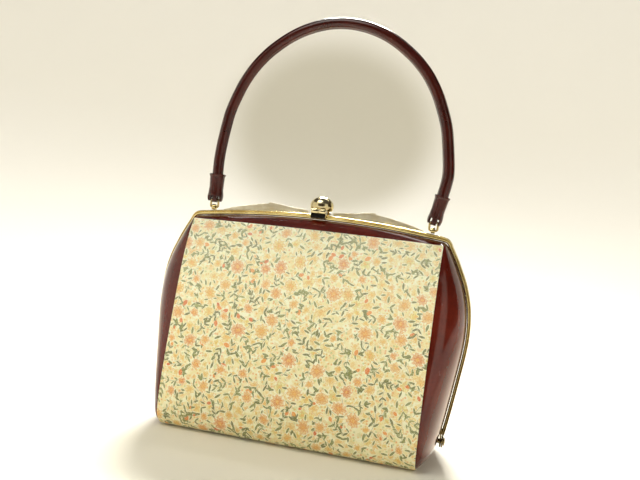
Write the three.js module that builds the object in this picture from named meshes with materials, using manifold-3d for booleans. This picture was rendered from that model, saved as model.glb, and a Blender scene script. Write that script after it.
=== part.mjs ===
// Hard-shell frame handbag: two hinged half shells on a lower tub, gilt frames, ball clasp and a tube handle.
// Millimetres, +X to the right, +Y to the back, +Z up. Origin: centre of the underside.
import * as THREE from 'three';
import { mergeVertices } from 'three/addons/utils/BufferGeometryUtils.js';
import Module from 'manifold-3d';

const wasm = await Module();
wasm.setup();

// ---------------------------------------------------------------- driving dimensions
const PANEL_HALF = 107;        // half width of the cloth panel and of the flat part of a shell
const CROWN = 3;               // how much the flat part bows outwards at its middle
const SHELL_T = 1.5;           // leather shell
const BOARD_IN = 1.9, BOARD_OUT = 2.9;     // stiffening board, offsets inwards from the shell face
const LINING_IN = 3.3, LINING_OUT = 4.0;   // lining, offsets inwards
const CLOTH_GAP = 0.3, CLOTH_T = 1.0;      // cloth panel on the shell
const SHELL_Z0 = 26, SHELL_Z1 = 173;       // shell from its lower edge to the foot of the roof
const HINGE_Z = 16;            // height of the two hinge rivets
const FRAME_Y0 = 0.4;          // each frame starts this far from the middle plane
const ARM_Y1 = 4.2, BAR_Y1 = 5.0;          // depth of the side arms and of the top bar
const ARM_H = 1.5, BAR_H = 2.1;            // half thickness in the plane of the frame
const SHOULDER_X = 109, SHOULDER_Z = 178, ARCH = 7.7;   // top bar
const TUB_FLAT_Y = 31, TUB_R = 14, TUB_FLAT_X = 106, TUB_RX = 12.5, TUB_TOP = 24;
const TUB_Z0 = CLOTH_GAP + CLOTH_T;        // the tub stands on the cloth
const LUG_X = 96, RING_Y = 2.7, LUG_Z = 184.6, RING_H = 7.0, RING_W = 3.4, WIRE_R = 0.9;
const TUBE_R = 4.5, TUBE_IN = 3.3, CORE_R = 3.0;
const BALL_R = 9.0, BALL_Y = 3.2, BALL_Z = 197.0;
const TAB_LEAN_R = 12.3, TAB_LEAN_L = 0.45;   // degrees the tabs lean towards +X
const HANDLE_REST = 4;         // the handle rests this far to the right on its loose rings
const PIVOT_Y = 12.2, PIVOT_Z = 189.4;

// half width of the frame's centre line by height
const B_TAB = [[16, 121.9], [22.5, 122.2], [30, 123.6], [43, 125.7], [57, 127.8], [72, 129.9], [85, 131.7], [97, 132.9], [108, 133.2],
  [118, 132.7], [127, 131.4], [135, 129.5], [144, 126.6], [152.5, 122.9], [160, 119.4], [166, 116.3], [172, 112.9], [176, 110.5]];
// depth of a half shell by height, at the edge of its flat part
const D_TAB = [[0, 47.5], [15, 47.6], [26, 47.4], [40, 46.0], [60, 43.0], [80, 39.5], [100, 35.6], [120, 31.4], [140, 26.4], [155, 21.4], [165, 16.9], [173, 12.6]];

const lut = (tab, x) => {
  if (x <= tab[0][0]) return tab[0][1];
  if (x >= tab[tab.length - 1][0]) return tab[tab.length - 1][1];
  let i = 0;
  while (x > tab[i + 1][0]) i++;
  const h = tab[i + 1][0] - tab[i][0], t = (x - tab[i][0]) / h;
  const m = (k) => {
    if (k === 0) return (tab[1][1] - tab[0][1]) / (tab[1][0] - tab[0][0]);
    if (k === tab.length - 1) return (tab[k][1] - tab[k - 1][1]) / (tab[k][0] - tab[k - 1][0]);
    return (tab[k + 1][1] - tab[k - 1][1]) / (tab[k + 1][0] - tab[k - 1][0]);
  };
  const a = tab[i][1], b = tab[i + 1][1], t2 = t * t, t3 = t2 * t;
  return (2 * t3 - 3 * t2 + 1) * a + (t3 - 2 * t2 + t) * h * m(i) + (-2 * t3 + 3 * t2) * b + (t3 - t2) * h * m(i + 1);
};
const barZ = (x) => SHOULDER_Z + ARCH * (1 - (x / SHOULDER_X) ** 2);

// ---------------------------------------------------------------- mesh builders
function geometryOf(verts, tris) {
  let v = 0;
  for (const [a, b, c] of tris) {
    const A = verts[a], B = verts[b], C = verts[c];
    v += (A[0] * (B[1] * C[2] - B[2] * C[1]) + A[1] * (B[2] * C[0] - B[0] * C[2]) + A[2] * (B[0] * C[1] - B[1] * C[0])) / 6;
  }
  const g = new THREE.BufferGeometry();
  g.setAttribute('position', new THREE.Float32BufferAttribute(verts.flat(), 3));
  g.setIndex(tris.flatMap(([a, b, c]) => (v < 0 ? [a, c, b] : [a, b, c])));
  return g;
}
// a sheet with thickness between two grids of points
function sheet(A, B) {
  const R = A.length, C = A[0].length, verts = [], tris = [];
  for (const G of [A, B]) for (const row of G) for (const p of row) verts.push(p);
  const id = (s, r, c) => s * R * C + r * C + c;
  const quad = (a, b, c, d) => tris.push([a, b, c], [a, c, d]);
  for (let r = 0; r < R - 1; r++) for (let c = 0; c < C - 1; c++) {
    quad(id(0, r, c), id(0, r, c + 1), id(0, r + 1, c + 1), id(0, r + 1, c));
    quad(id(1, r, c), id(1, r + 1, c), id(1, r + 1, c + 1), id(1, r, c + 1));
  }
  for (let c = 0; c < C - 1; c++) {
    quad(id(0, 0, c), id(1, 0, c), id(1, 0, c + 1), id(0, 0, c + 1));
    quad(id(0, R - 1, c), id(0, R - 1, c + 1), id(1, R - 1, c + 1), id(1, R - 1, c));
  }
  for (let r = 0; r < R - 1; r++) {
    quad(id(0, r, 0), id(0, r + 1, 0), id(1, r + 1, 0), id(1, r, 0));
    quad(id(0, r, C - 1), id(1, r, C - 1), id(1, r + 1, C - 1), id(0, r + 1, C - 1));
  }
  return geometryOf(verts, tris);
}
// a cup between two stacks of closed rings, bottom first
function cup(A, B) {
  const R = A.length, N = A[0].length, verts = [], tris = [];
  for (const G of [A, B]) for (const row of G) for (const p of row) verts.push(p);
  const id = (s, r, c) => s * R * N + r * N + (c % N);
  for (let r = 0; r < R - 1; r++) for (let c = 0; c < N; c++) {
    tris.push([id(0, r, c), id(0, r, c + 1), id(0, r + 1, c + 1)], [id(0, r, c), id(0, r + 1, c + 1), id(0, r + 1, c)]);
    tris.push([id(1, r, c), id(1, r + 1, c + 1), id(1, r, c + 1)], [id(1, r, c), id(1, r + 1, c), id(1, r + 1, c + 1)]);
  }
  const a = verts.length; verts.push([0, 0, A[0][0][2]]);
  const b = verts.length; verts.push([0, 0, B[0][0][2]]);
  for (let c = 0; c < N; c++) {
    tris.push([a, id(0, 0, c + 1), id(0, 0, c)]);
    tris.push([b, id(1, 0, c), id(1, 0, c + 1)]);
    tris.push([id(0, R - 1, c), id(0, R - 1, c + 1), id(1, R - 1, c + 1)], [id(0, R - 1, c), id(1, R - 1, c + 1), id(1, R - 1, c)]);
  }
  return geometryOf(verts, tris);
}
// a stack of rings, capped at both ends, or closed on itself
function loft(rings, closed = false) {
  const R = rings.length, N = rings[0].length, verts = rings.flat(), tris = [];
  const id = (r, c) => (r % R) * N + (c % N);
  for (let r = 0; r < (closed ? R : R - 1); r++) for (let c = 0; c < N; c++) {
    tris.push([id(r, c), id(r, c + 1), id(r + 1, c + 1)], [id(r, c), id(r + 1, c + 1), id(r + 1, c)]);
  }
  if (!closed) {
    for (const r of [0, R - 1]) {
      const m = [0, 1, 2].map((k) => rings[r].reduce((s, p) => s + p[k], 0) / N), a = verts.length;
      verts.push(m);
      for (let c = 0; c < N; c++) tris.push(r === 0 ? [a, id(r, c + 1), id(r, c)] : [a, id(r, c), id(r, c + 1)]);
    }
  }
  return geometryOf(verts, tris);
}
const mirrorY = (g) => {
  const h = g.clone(), p = h.attributes.position;
  for (let i = 0; i < p.count; i++) p.setY(i, -p.getY(i));
  const ix = h.index.array;
  for (let i = 0; i < ix.length; i += 3) { const t = ix[i + 1]; ix[i + 1] = ix[i + 2]; ix[i + 2] = t; }
  return h;
};
const mirrorX = (g) => {
  const h = g.clone(), p = h.attributes.position;
  for (let i = 0; i < p.count; i++) p.setX(i, -p.getX(i));
  const ix = h.index.array;
  for (let i = 0; i < ix.length; i += 3) { const t = ix[i + 1]; ix[i + 1] = ix[i + 2]; ix[i + 2] = t; }
  return h;
};
// solids for cutting and joining
function solid(geo) {
  let g = geo.clone();
  for (const k of Object.keys(g.attributes)) if (k !== 'position') g.deleteAttribute(k);
  g = mergeVertices(g, 1e-4);
  return new wasm.Manifold(new wasm.Mesh({ numProp: 3, vertProperties: new Float32Array(g.attributes.position.array), triVerts: new Uint32Array(g.index.array) }));
}
function fromSolid(m) {
  const q = m.getMesh(), g = new THREE.BufferGeometry();
  g.setAttribute('position', new THREE.Float32BufferAttribute(q.vertProperties, 3));
  g.setIndex([...q.triVerts]);
  return g;
}
const boxAt = (x0, x1, y0, y1, z0, z1) => new THREE.BoxGeometry(x1 - x0, y1 - y0, z1 - z0).translate((x0 + x1) / 2, (y0 + y1) / 2, (z0 + z1) / 2);
const rodX = (r, x0, x1, y, z, n = 14) => new THREE.CylinderGeometry(r, r, x1 - x0, n).rotateZ(-Math.PI / 2).translate((x0 + x1) / 2, y, z);
const rodZ = (r, x, y, z0, z1, n = 14) => new THREE.CylinderGeometry(r, r, z1 - z0, n).rotateX(Math.PI / 2).translate(x, y, (z0 + z1) / 2);
const join = (...gs) => fromSolid(gs.map(solid).reduce((a, b) => a.add(b)));
const cut = (g, ...tools) => fromSolid(tools.map(solid).reduce((a, b) => a.subtract(b), solid(g)));

// ---------------------------------------------------------------- shell surface
const PETAL = 4, FLAT = 6;
const columns = [];
for (let i = PETAL; i > 0; i--) columns.push(-1 - i / PETAL);
for (let i = 0; i <= FLAT; i++) columns.push(-1 + (2 * i) / FLAT);
for (let i = 1; i <= PETAL; i++) columns.push(1 + i / PETAL);
const flatColumns = columns.filter((s) => Math.abs(s) <= 1);

// one point of a front half section: D, b are the section's depth and half width
function sectionPoint(s, D, b, p, crown, y0 = 1.2) {
  const a = Math.abs(s), sg = Math.sign(s);
  if (a <= 1) return [s * p, -(D + crown * (1 - s * s))];
  const t = (a - 1) * Math.PI / 2;
  return [sg * (p + (b - p) * Math.sin(t)), -(y0 + (D - y0) * Math.cos(t))];
}
function shellPoint(s, z, o) {
  const b = lut(B_TAB, z) - ARM_H - 0.3 - o, p = Math.min(PANEL_HALF, b - 1);
  const [x, y] = sectionPoint(s, lut(D_TAB, z) - o, b, p, CROWN);
  return [x, y, z];
}
// the roof runs from the top of the shell face up to the underside of the arched bar
function roofPoint(s, v, o) {
  const f = shellPoint(s, SHELL_Z1, o), half = lut(B_TAB, SHELL_Z1) - ARM_H - 0.3 - o;
  const x = (f[0] / half) * (106.2 - o), e = [x, -(4.7 - 0.85 * o), barZ(x) - BAR_H - 0.3 - 0.75 * o];
  const q = v + 0.35 * v * (1 - v);
  return [f[0] + (e[0] - f[0]) * v, f[1] + (e[1] - f[1]) * v, f[2] + (e[2] - f[2]) * q];
}
const ROWS = [26, 40, 56, 74, 92, 110, 128, 144, 157, 166, 173];
const rowsFrom = (z0) => [z0, ...ROWS.filter((z) => z > z0 + 3)];
function halfGrid(o, z0, cols = columns, roof = true, z1 = SHELL_Z1) {
  const g = rowsFrom(z0).filter((z) => z <= z1).map((z) => cols.map((s) => shellPoint(s, z, o)));
  if (roof) for (const v of [0.5, 1]) g.push(cols.map((s) => roofPoint(s, v, o)));
  return g;
}
const frontShell = sheet(halfGrid(0, SHELL_Z0), halfGrid(SHELL_T, SHELL_Z0));
const frontBoard = sheet(halfGrid(BOARD_IN, 31, columns, false), halfGrid(BOARD_OUT, 31, columns, false));
const frontLining = sheet(halfGrid(LINING_IN, 36, columns, false, 166), halfGrid(LINING_OUT, 36, columns, false, 166));
const frontPanel = sheet(halfGrid(-CLOTH_GAP, SHELL_Z0, flatColumns, false), halfGrid(-CLOTH_GAP - CLOTH_T, SHELL_Z0, flatColumns, false));
// flat patch pocket on the rear lining
const pocketGrid = (o) => [60, 74, 92, 110, 128, 140].map((z) => [-0.52, -0.3, 0, 0.3, 0.52].map((s) => shellPoint(s, z, o)));
const pocket = mirrorY(sheet(pocketGrid(4.5), pocketGrid(5.2)));

// ---------------------------------------------------------------- lower tub
const TUB_PHI = [0, 22, 45, 68, 90];
function tubRing(o, k) {
  const phi = k < TUB_PHI.length ? TUB_PHI[k] * Math.PI / 180 : Math.PI / 2;
  const D = TUB_FLAT_Y + (TUB_R - o) * Math.sin(phi), b = TUB_FLAT_X + (TUB_RX - o) * Math.sin(phi);
  const zc = TUB_Z0 + TUB_R, z = k < TUB_PHI.length ? zc - (TUB_R - o) * Math.cos(phi) : TUB_TOP - (o > 1.5 ? 1.5 : 0);
  const p = Math.min(105, b - 1), f = columns.map((s) => sectionPoint(s, D, b, p, 0));
  return [...f, ...f.slice().reverse().map(([x, y]) => [x, -y])].map(([x, y]) => [x, y, z]);
}
const tubStack = (o) => [0, 1, 2, 3, 4, 5].map((k) => tubRing(o, k));
const rivetHole = (r) => [rodX(r, 100, 130, 0, HINGE_Z), rodX(r, -130, -100, 0, HINGE_Z)];
const tub = cut(cup(tubStack(0), tubStack(SHELL_T)), ...rivetHole(2.3));
const baseBoard = cut(cup(tubStack(BOARD_IN), tubStack(BOARD_OUT)), ...rivetHole(2.3));
const bottomLining = cup(tubStack(4.8), tubStack(5.5));
// cloth under the tub: flat in the middle, turned up at the front and the back
function underGrid(o) {
  const prof = [];
  for (const a of [76, 56, 38, 20, 0]) prof.push([-(TUB_FLAT_Y + (TUB_R + o) * Math.sin(a * Math.PI / 180)), TUB_Z0 + TUB_R - (TUB_R + o) * Math.cos(a * Math.PI / 180)]);
  const all = [...prof, ...prof.slice().reverse().map(([y, z]) => [-y, z])];
  return all.map(([y, z]) => [-104, -70, -35, 0, 35, 70, 104].map((x) => [x, y, z]));
}
const bottomPanel = sheet(underGrid(CLOTH_GAP), underGrid(CLOTH_GAP + CLOTH_T));

// ---------------------------------------------------------------- frames
function framePath() {
  const right = [];
  for (const z of [22.5, 30, 43, 57, 72, 85, 97, 108, 118, 127, 135, 144, 152.5, 160, 166, 172]) right.push([lut(B_TAB, z), z, ARM_H, ARM_Y1]);
  right.push([111.2, 175.2, 1.6, 4.4], [109.2, 177.3, 1.8, 4.7], [106.2, barZ(106.2), 2.0, BAR_Y1]);
  for (const x of [96, 80, 62, 44, 26, 9]) right.push([x, barZ(x), BAR_H, BAR_Y1]);
  return [...right, ...right.slice().reverse().map(([x, z, h, y]) => [-x, z, h, y])];
}
function frameSweep() {
  const P = framePath();
  return loft(P.map(([x, z, h, y1], i) => {
    const a = P[Math.max(0, i - 1)], b = P[Math.min(P.length - 1, i + 1)];
    let tx = b[0] - a[0], tz = b[1] - a[1];
    const l = Math.hypot(tx, tz); tx /= l; tz /= l;
    const nx = tz, nz = -tx;                        // outwards, away from the middle of the bag
    return [[h, FRAME_Y0], [-h, FRAME_Y0], [-h, y1 - 0.8], [-h + 0.8, y1], [h - 0.8, y1], [h, y1 - 0.8]].map(([n, y]) => [x + nx * n, -y, z + nz * n]);
  }));
}
function ear(x0, x1, sy) {      // flat eye that turns on the rivet
  const disc = rodX(5, x0, x1, 0, HINGE_Z, 18);
  const neck = boxAt(x0, x1, Math.min(sy * 0.6, sy * 3.8), Math.max(sy * 0.6, sy * 3.8), HINGE_Z, 26);
  return [disc, neck];
}
const sweepF = frameSweep(), sweepR = mirrorY(sweepF);
const frontEars = [...ear(120.2, 121.4, -1), ...ear(-121.4, -120.2, -1)];
const rearEars = [...ear(121.8, 123.0, 1), ...ear(-123.0, -121.8, 1)];
const earHole = [rodX(2.3, 115, 128, 0, HINGE_Z), rodX(2.3, -128, -115, 0, HINGE_Z)];
const frontFrame = cut(join(sweepF, ...frontEars), ...earHole);
const rearFrame = cut(join(sweepR, ...rearEars), ...earHole);
const rivet = join(rodX(1.9, 114.0, 124.0, 0, HINGE_Z), rodX(3.4, 123.3, 124.6, 0, HINGE_Z, 18), rodX(3.1, 113.9, 114.8, 0, HINGE_Z));

// ---------------------------------------------------------------- side gussets, folded inwards
function gusset() {
  const rows = [27, 50, 75, 100, 125, 150, 166];
  const A = [], B = [];
  for (const z of rows) {
    const xe = lut(B_TAB, z) - (z < 30 ? 9.5 : 7.6), L = 2 + 0.19 * (z - HINGE_Z), w = 4.5, t = 0.8;
    A.push([[xe, -w, z], [xe - L, 0, z], [xe, w, z]]);
    B.push([[xe, -w + t, z], [xe - L + t * Math.hypot(L, w) / w, 0, z], [xe, w - t, z]]);
  }
  return sheet(A, B);
}

// ---------------------------------------------------------------- top fittings
function crest() {              // pressed ornament behind the rear bar, right half
  const top = [[11, 190.3], [16, 190.8], [24, 191.4], [32, 192.2], [40, 193.3], [46.5, 193.9], [47.5, 192.6], [56, 191.4], [64, 189.9], [72, 188.2], [80, 186.2], [88, 183.6]];
  const row = (y) => [top.map(([x]) => [x, y, barZ(x) - 1.4]), top.map(([x, z]) => [x, y, z])];
  return sheet(row(5.3), row(6.5));
}
function eyeLug(x) {            // upright eye on the rear bar, hole along X
  const s = new THREE.Shape();
  const r = 2.6, foot = barZ(LUG_X) + BAR_H + 0.45 - LUG_Z;
  s.moveTo(-2.2, foot); s.lineTo(2.2, foot); s.lineTo(r, 0);
  for (let i = 1; i <= 10; i++) s.lineTo(r * Math.cos(i * Math.PI / 10), r * Math.sin(i * Math.PI / 10));
  s.lineTo(-2.2, foot);
  const h = new THREE.Path();
  h.absarc(0, 0, 1.3, 0, Math.PI * 2, true);
  s.holes.push(h);
  const g = new THREE.ExtrudeGeometry(s, { depth: 3, bevelEnabled: false, curveSegments: 10 });
  // shape x -> Y, shape y -> Z, depth -> X
  g.applyMatrix4(new THREE.Matrix4().set(0, 0, 1, x - 1.5, 1, 0, 0, RING_Y, 0, 1, 0, LUG_Z, 0, 0, 0, 1));
  return g;
}
function wireRing(x0) {         // rounded wire loop standing in the lug's eye
  const pts = [], r = 1.6, w = RING_W, h = RING_H;
  for (const [cx, cz, a0] of [[w - r, h - r, 0], [-w + r, h - r, 90], [-w + r, r, 180], [w - r, r, 270]]) {
    for (let k = 0; k <= 3; k++) { const a = (a0 + k * 30) * Math.PI / 180; pts.push([cx + r * Math.cos(a), cz + r * Math.sin(a), a]); }
  }
  return loft(pts.map(([x, z, a]) => {
    const ring = [];
    for (let k = 0; k < 8; k++) {
      const q = k * Math.PI / 4, n = WIRE_R * Math.cos(q), y = WIRE_R * Math.sin(q);
      ring.push([x0 + x + n * Math.cos(a), RING_Y + y, LUG_Z + z + n * Math.sin(a)]);
    }
    return ring;
  }), true);
}
function handleTab(x) {         // leather tab folded round the ring's top bar, sleeve round the tube above
  const zh = LUG_Z + RING_H;
  const neck = new THREE.Shape();
  neck.moveTo(3, 8); neck.lineTo(-3, 8); neck.lineTo(-3, 0);
  for (let i = 1; i <= 8; i++) neck.lineTo(-3 * Math.cos(i * Math.PI / 8), -3 * Math.sin(i * Math.PI / 8));
  neck.lineTo(3, 8);
  const n = new THREE.ExtrudeGeometry(neck, { depth: 4.4, bevelEnabled: false });
  n.applyMatrix4(new THREE.Matrix4().set(0, 0, 1, x - 2.2, 1, 0, 0, RING_Y, 0, 1, 0, zh, 0, 0, 0, 1));
  const oval = (z, rx, ry) => Array.from({ length: 16 }, (_, i) => [x + rx * Math.cos(i * Math.PI / 8), RING_Y + ry * Math.sin(i * Math.PI / 8), z]);
  const body = loft([oval(195.2, 4.0, 3.4), oval(197, 5.5, 5.3), oval(200, 6.2, 6.0), oval(212.5, 6.2, 6.0)]);
  const lean = new THREE.Matrix4().makeTranslation(x, 0, zh).multiply(new THREE.Matrix4().makeRotationY((x > 0 ? TAB_LEAN_R : TAB_LEAN_L) * Math.PI / 180)).multiply(new THREE.Matrix4().makeTranslation(-x, 0, -zh));
  const sleeve = cut(join(n, body.applyMatrix4(lean)), rodZ(5.05, x, RING_Y, 198, 216, 16).applyMatrix4(lean));
  return cut(sleeve, rodX(1.3, x - 8, x + 8, RING_Y, zh));
}
// handle centre line, right half: x, z
const H_TAB = [[96.78, 199], [97.5, 206], [98.25, 213], [99.2, 222], [99.5, 230], [98.9, 238], [97.8, 246], [96.1, 257], [94.6, 265.3], [92.9, 271.8],
  [90.7, 278.2], [88.2, 284.6], [85.5, 291], [82.4, 297.1], [78.8, 303.3], [74.4, 309.8], [69.3, 316], [63.2, 322.3], [55.2, 329], [45.4, 335.9], [33.6, 342.1], [17.2, 347.4], [0, 349.2]];
const leanX = (z) => HANDLE_REST * Math.max(0, Math.min(1, (z - LUG_Z - RING_H) / 40)) ** 0.8;
function handlePath() {
  const curve = new THREE.CatmullRomCurve3([...H_TAB, ...H_TAB.slice(0, -1).reverse().map(([x, z]) => [-x, z])].map(([x, z]) => new THREE.Vector3(x + leanX(z), RING_Y, z)), false, 'centripetal');
  return curve;
}
function tube(rOut, rIn, steps, sides) {
  const c = handlePath();
  const rings = (r) => Array.from({ length: steps + 1 }, (_, i) => {
    const p = c.getPointAt(i / steps), t = c.getTangentAt(i / steps), nx = t.z, nz = -t.x;
    return Array.from({ length: sides }, (_, k) => {
      const q = (k + 0.5) * 2 * Math.PI / sides, n = r * Math.cos(q), y = r * Math.sin(q);
      return [p.x + nx * n, p.y + y, p.z + nz * n];
    });
  });
  const A = rings(rOut);
  if (!rIn) return loft(A);
  const B = rings(rIn), N = sides, R = A.length, verts = [...A.flat(), ...B.flat()], tris = [];
  const id = (s, r, k) => s * R * N + r * N + (k % N);
  for (let r = 0; r < R - 1; r++) for (let k = 0; k < N; k++) {
    tris.push([id(0, r, k), id(0, r, k + 1), id(0, r + 1, k + 1)], [id(0, r, k), id(0, r + 1, k + 1), id(0, r + 1, k)]);
    tris.push([id(1, r, k), id(1, r + 1, k + 1), id(1, r, k + 1)], [id(1, r, k), id(1, r + 1, k), id(1, r + 1, k + 1)]);
  }
  for (let k = 0; k < N; k++) {
    tris.push([id(0, 0, k), id(1, 0, k + 1), id(0, 0, k + 1)], [id(0, 0, k), id(1, 0, k), id(1, 0, k + 1)]);
    tris.push([id(0, R - 1, k), id(0, R - 1, k + 1), id(1, R - 1, k + 1)], [id(0, R - 1, k), id(1, R - 1, k + 1), id(1, R - 1, k)]);
  }
  return geometryOf(verts, tris);
}

// ---------------------------------------------------------------- clasp
const catchBlock = loft([[-9.3, 0.8], [-8.5, 0], [-5.4, 0]].map(([y, c]) => [[-6.5 + c, y, 184.4 + c], [6.5 - c, y, 184.4 + c], [6.5 - c, y, 192.4 - c], [-6.5 + c, y, 192.4 - c]]));
const ball = cut(new THREE.SphereGeometry(BALL_R, 20, 12).rotateX(Math.PI / 2).translate(0, BALL_Y, BALL_Z),
  boxAt(-12, 12, BALL_Y - 12, BALL_Y + 12, 180, 189.8), rodZ(2.0, 0, BALL_Y, 185, 197.5));
const lever = cut(join(rodX(2.2, -4.2, 4.2, PIVOT_Y, PIVOT_Z, 16), boxAt(-3.8, 3.8, -4.9, PIVOT_Y, 188.25, 189.45), rodZ(1.7, 0, BALL_Y, 189, 196.8)),
  rodX(1.4, -6, 6, PIVOT_Y, PIVOT_Z));
const bracket = cut(join(boxAt(-6, 6, 5.3, 14.8, 183.6, 184.9), ...[4.6, -6].flatMap((x) => [boxAt(x, x + 1.4, PIVOT_Y - 2.4, PIVOT_Y + 2.4, 184.4, PIVOT_Z), rodX(2.6, x, x + 1.4, PIVOT_Y, PIVOT_Z, 16)])),
  rodX(1.4, -8, 8, PIVOT_Y, PIVOT_Z));
const claspPin = rodX(1.1, -7.4, 7.4, PIVOT_Y, PIVOT_Z, 12);
const claspSpring = join(boxAt(-1.6, 1.6, 7, 15.4, 185.2, 185.7), boxAt(-1.6, 1.6, 14.9, 15.4, 185.4, 191));

// ---------------------------------------------------------------- assembly
const mat = {
  cloth: { color: 0xe7dcb6, roughness: 0.8, metalness: 0 },
  leather: { color: 0x4c0f10, roughness: 0.16, metalness: 0 },
  gilt: { color: 0xcdb27c, roughness: 0.22, metalness: 1 },
  engraved: { color: 0xc9c0a2, roughness: 0.35, metalness: 1 },
  board: { color: 0x9a8b70, roughness: 0.9, metalness: 0 },
  lining: { color: 0x6d5a44, roughness: 0.75, metalness: 0 },
  steel: { color: 0xa6a6a2, roughness: 0.35, metalness: 1 },
  cord: { color: 0xd8cfb8, roughness: 0.85, metalness: 0 },
};
const bag = new THREE.Group();
bag.name = 'frame_handbag';
const group = (name) => { const g = new THREE.Group(); g.name = name; bag.add(g); return g; };
const put = (g, name, geo, m) => {
  const mesh = new THREE.Mesh(geo, new THREE.MeshStandardMaterial(mat[m]));
  mesh.name = name;
  g.add(mesh);
};
const base = group('base_group');
put(base, 'bottom_panel', bottomPanel, 'cloth');
put(base, 'lower_tub', tub, 'leather');
put(base, 'base_board', baseBoard, 'board');
put(base, 'bottom_lining', bottomLining, 'lining');
put(base, 'hinge_rivet_right', rivet, 'gilt');
put(base, 'hinge_rivet_left', mirrorX(rivet), 'gilt');
put(base, 'gusset_right', gusset(), 'lining');
put(base, 'gusset_left', mirrorX(gusset()), 'lining');

const front = group('front_group');
put(front, 'front_shell', frontShell, 'leather');
put(front, 'front_panel', frontPanel, 'cloth');
put(front, 'front_board', frontBoard, 'board');
put(front, 'front_lining', frontLining, 'lining');
put(front, 'front_frame', frontFrame, 'gilt');
put(front, 'clasp_catch', catchBlock, 'gilt');

const rear = group('rear_group');
put(rear, 'rear_shell', mirrorY(frontShell), 'leather');
put(rear, 'rear_panel', mirrorY(frontPanel), 'cloth');
put(rear, 'rear_board', mirrorY(frontBoard), 'board');
put(rear, 'rear_lining', mirrorY(frontLining), 'lining');
put(rear, 'inner_pocket', pocket, 'lining');
put(rear, 'rear_frame', rearFrame, 'gilt');
put(rear, 'crest_right', crest(), 'engraved');
put(rear, 'crest_left', mirrorX(crest()), 'engraved');
put(rear, 'lug_right', eyeLug(LUG_X), 'gilt');
put(rear, 'lug_left', eyeLug(-LUG_X), 'gilt');
put(rear, 'clasp_bracket', bracket, 'gilt');
put(rear, 'clasp_pin', claspPin, 'steel');
put(rear, 'clasp_spring', claspSpring, 'steel');

const clasp = group('clasp_group');
put(clasp, 'clasp_lever', lever, 'gilt');
put(clasp, 'clasp_ball', ball, 'gilt');

const carry = group('handle_group');
put(carry, 'ring_right', wireRing(LUG_X), 'gilt');
put(carry, 'ring_left', wireRing(-LUG_X), 'gilt');
put(carry, 'tab_right', handleTab(LUG_X), 'leather');
put(carry, 'tab_left', handleTab(-LUG_X), 'leather');
put(carry, 'handle_cover', tube(TUBE_R, TUBE_IN, 36, 10), 'leather');
put(carry, 'handle_core', tube(CORE_R, 0, 36, 6), 'cord');

export default bag;
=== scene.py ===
import math

import bmesh
import bpy
import numpy as np
from mathutils import Matrix


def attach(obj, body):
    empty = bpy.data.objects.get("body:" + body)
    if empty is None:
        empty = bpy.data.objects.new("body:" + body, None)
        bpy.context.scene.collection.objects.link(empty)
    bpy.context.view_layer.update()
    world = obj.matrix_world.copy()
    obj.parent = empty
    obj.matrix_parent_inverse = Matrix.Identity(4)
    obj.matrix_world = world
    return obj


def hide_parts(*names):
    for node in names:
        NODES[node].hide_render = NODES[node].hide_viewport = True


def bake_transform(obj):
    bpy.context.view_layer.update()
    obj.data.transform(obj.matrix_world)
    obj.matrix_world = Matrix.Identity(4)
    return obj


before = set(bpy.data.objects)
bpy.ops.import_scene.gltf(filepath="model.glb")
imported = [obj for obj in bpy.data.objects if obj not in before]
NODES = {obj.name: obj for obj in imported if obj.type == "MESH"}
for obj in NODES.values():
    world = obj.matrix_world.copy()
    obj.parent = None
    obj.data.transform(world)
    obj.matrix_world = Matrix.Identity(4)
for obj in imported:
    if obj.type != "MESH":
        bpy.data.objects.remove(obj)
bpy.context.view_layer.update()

# ------------------------------------------------------------------ shared dimensions, millimetres
B_TAB = [[16, 121.9], [22.5, 122.2], [30, 123.6], [43, 125.7], [57, 127.8], [72, 129.9], [85, 131.7], [97, 132.9], [108, 133.2],
         [118, 132.7], [127, 131.4], [135, 129.5], [144, 126.6], [152.5, 122.9], [160, 119.4], [166, 116.3], [172, 112.9], [176, 110.5]]
D_TAB = [[0, 47.5], [15, 47.6], [26, 47.4], [40, 46.0], [60, 43.0], [80, 39.5], [100, 35.6], [120, 31.4], [140, 26.4], [155, 21.4],
         [165, 16.9], [173, 12.6]]
LOW_B = [[1, 108.0], [3, 111.3], [6, 114.6], [10, 117.3], [14, 118.7], [18, 119.4], [22, 120.1], [26, 121.0]]
H_TAB = [[96.78, 199], [97.5, 206], [98.25, 213], [99.2, 222], [99.5, 230], [98.9, 238], [97.8, 246], [96.1, 257], [94.6, 265.3],
         [92.9, 271.8], [90.7, 278.2], [88.2, 284.6], [85.5, 291], [82.4, 297.1], [78.8, 303.3], [74.4, 309.8], [69.3, 316],
         [63.2, 322.3], [55.2, 329], [45.4, 335.9], [33.6, 342.1], [17.2, 347.4], [0, 349.2]]
CREST = [[11, 190.3], [16, 190.8], [24, 191.4], [32, 192.2], [40, 193.3], [46.5, 193.9], [47.5, 192.6], [56, 191.4], [64, 189.9],
         [72, 188.2], [80, 186.2], [88, 183.6]]
RING_Y, LUG_X, LUG_Z, RING_H, RING_W, WIRE_R = 2.7, 96.0, 184.6, 7.0, 3.4, 0.9
BALL_R, BALL_Y, BALL_Z = 9.0, 3.2, 197.0
TAB_LEAN = {"right": 12.3, "left": 0.45}
HANDLE_REST = 4.0
CLOTH_HALF = 107.0


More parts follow.
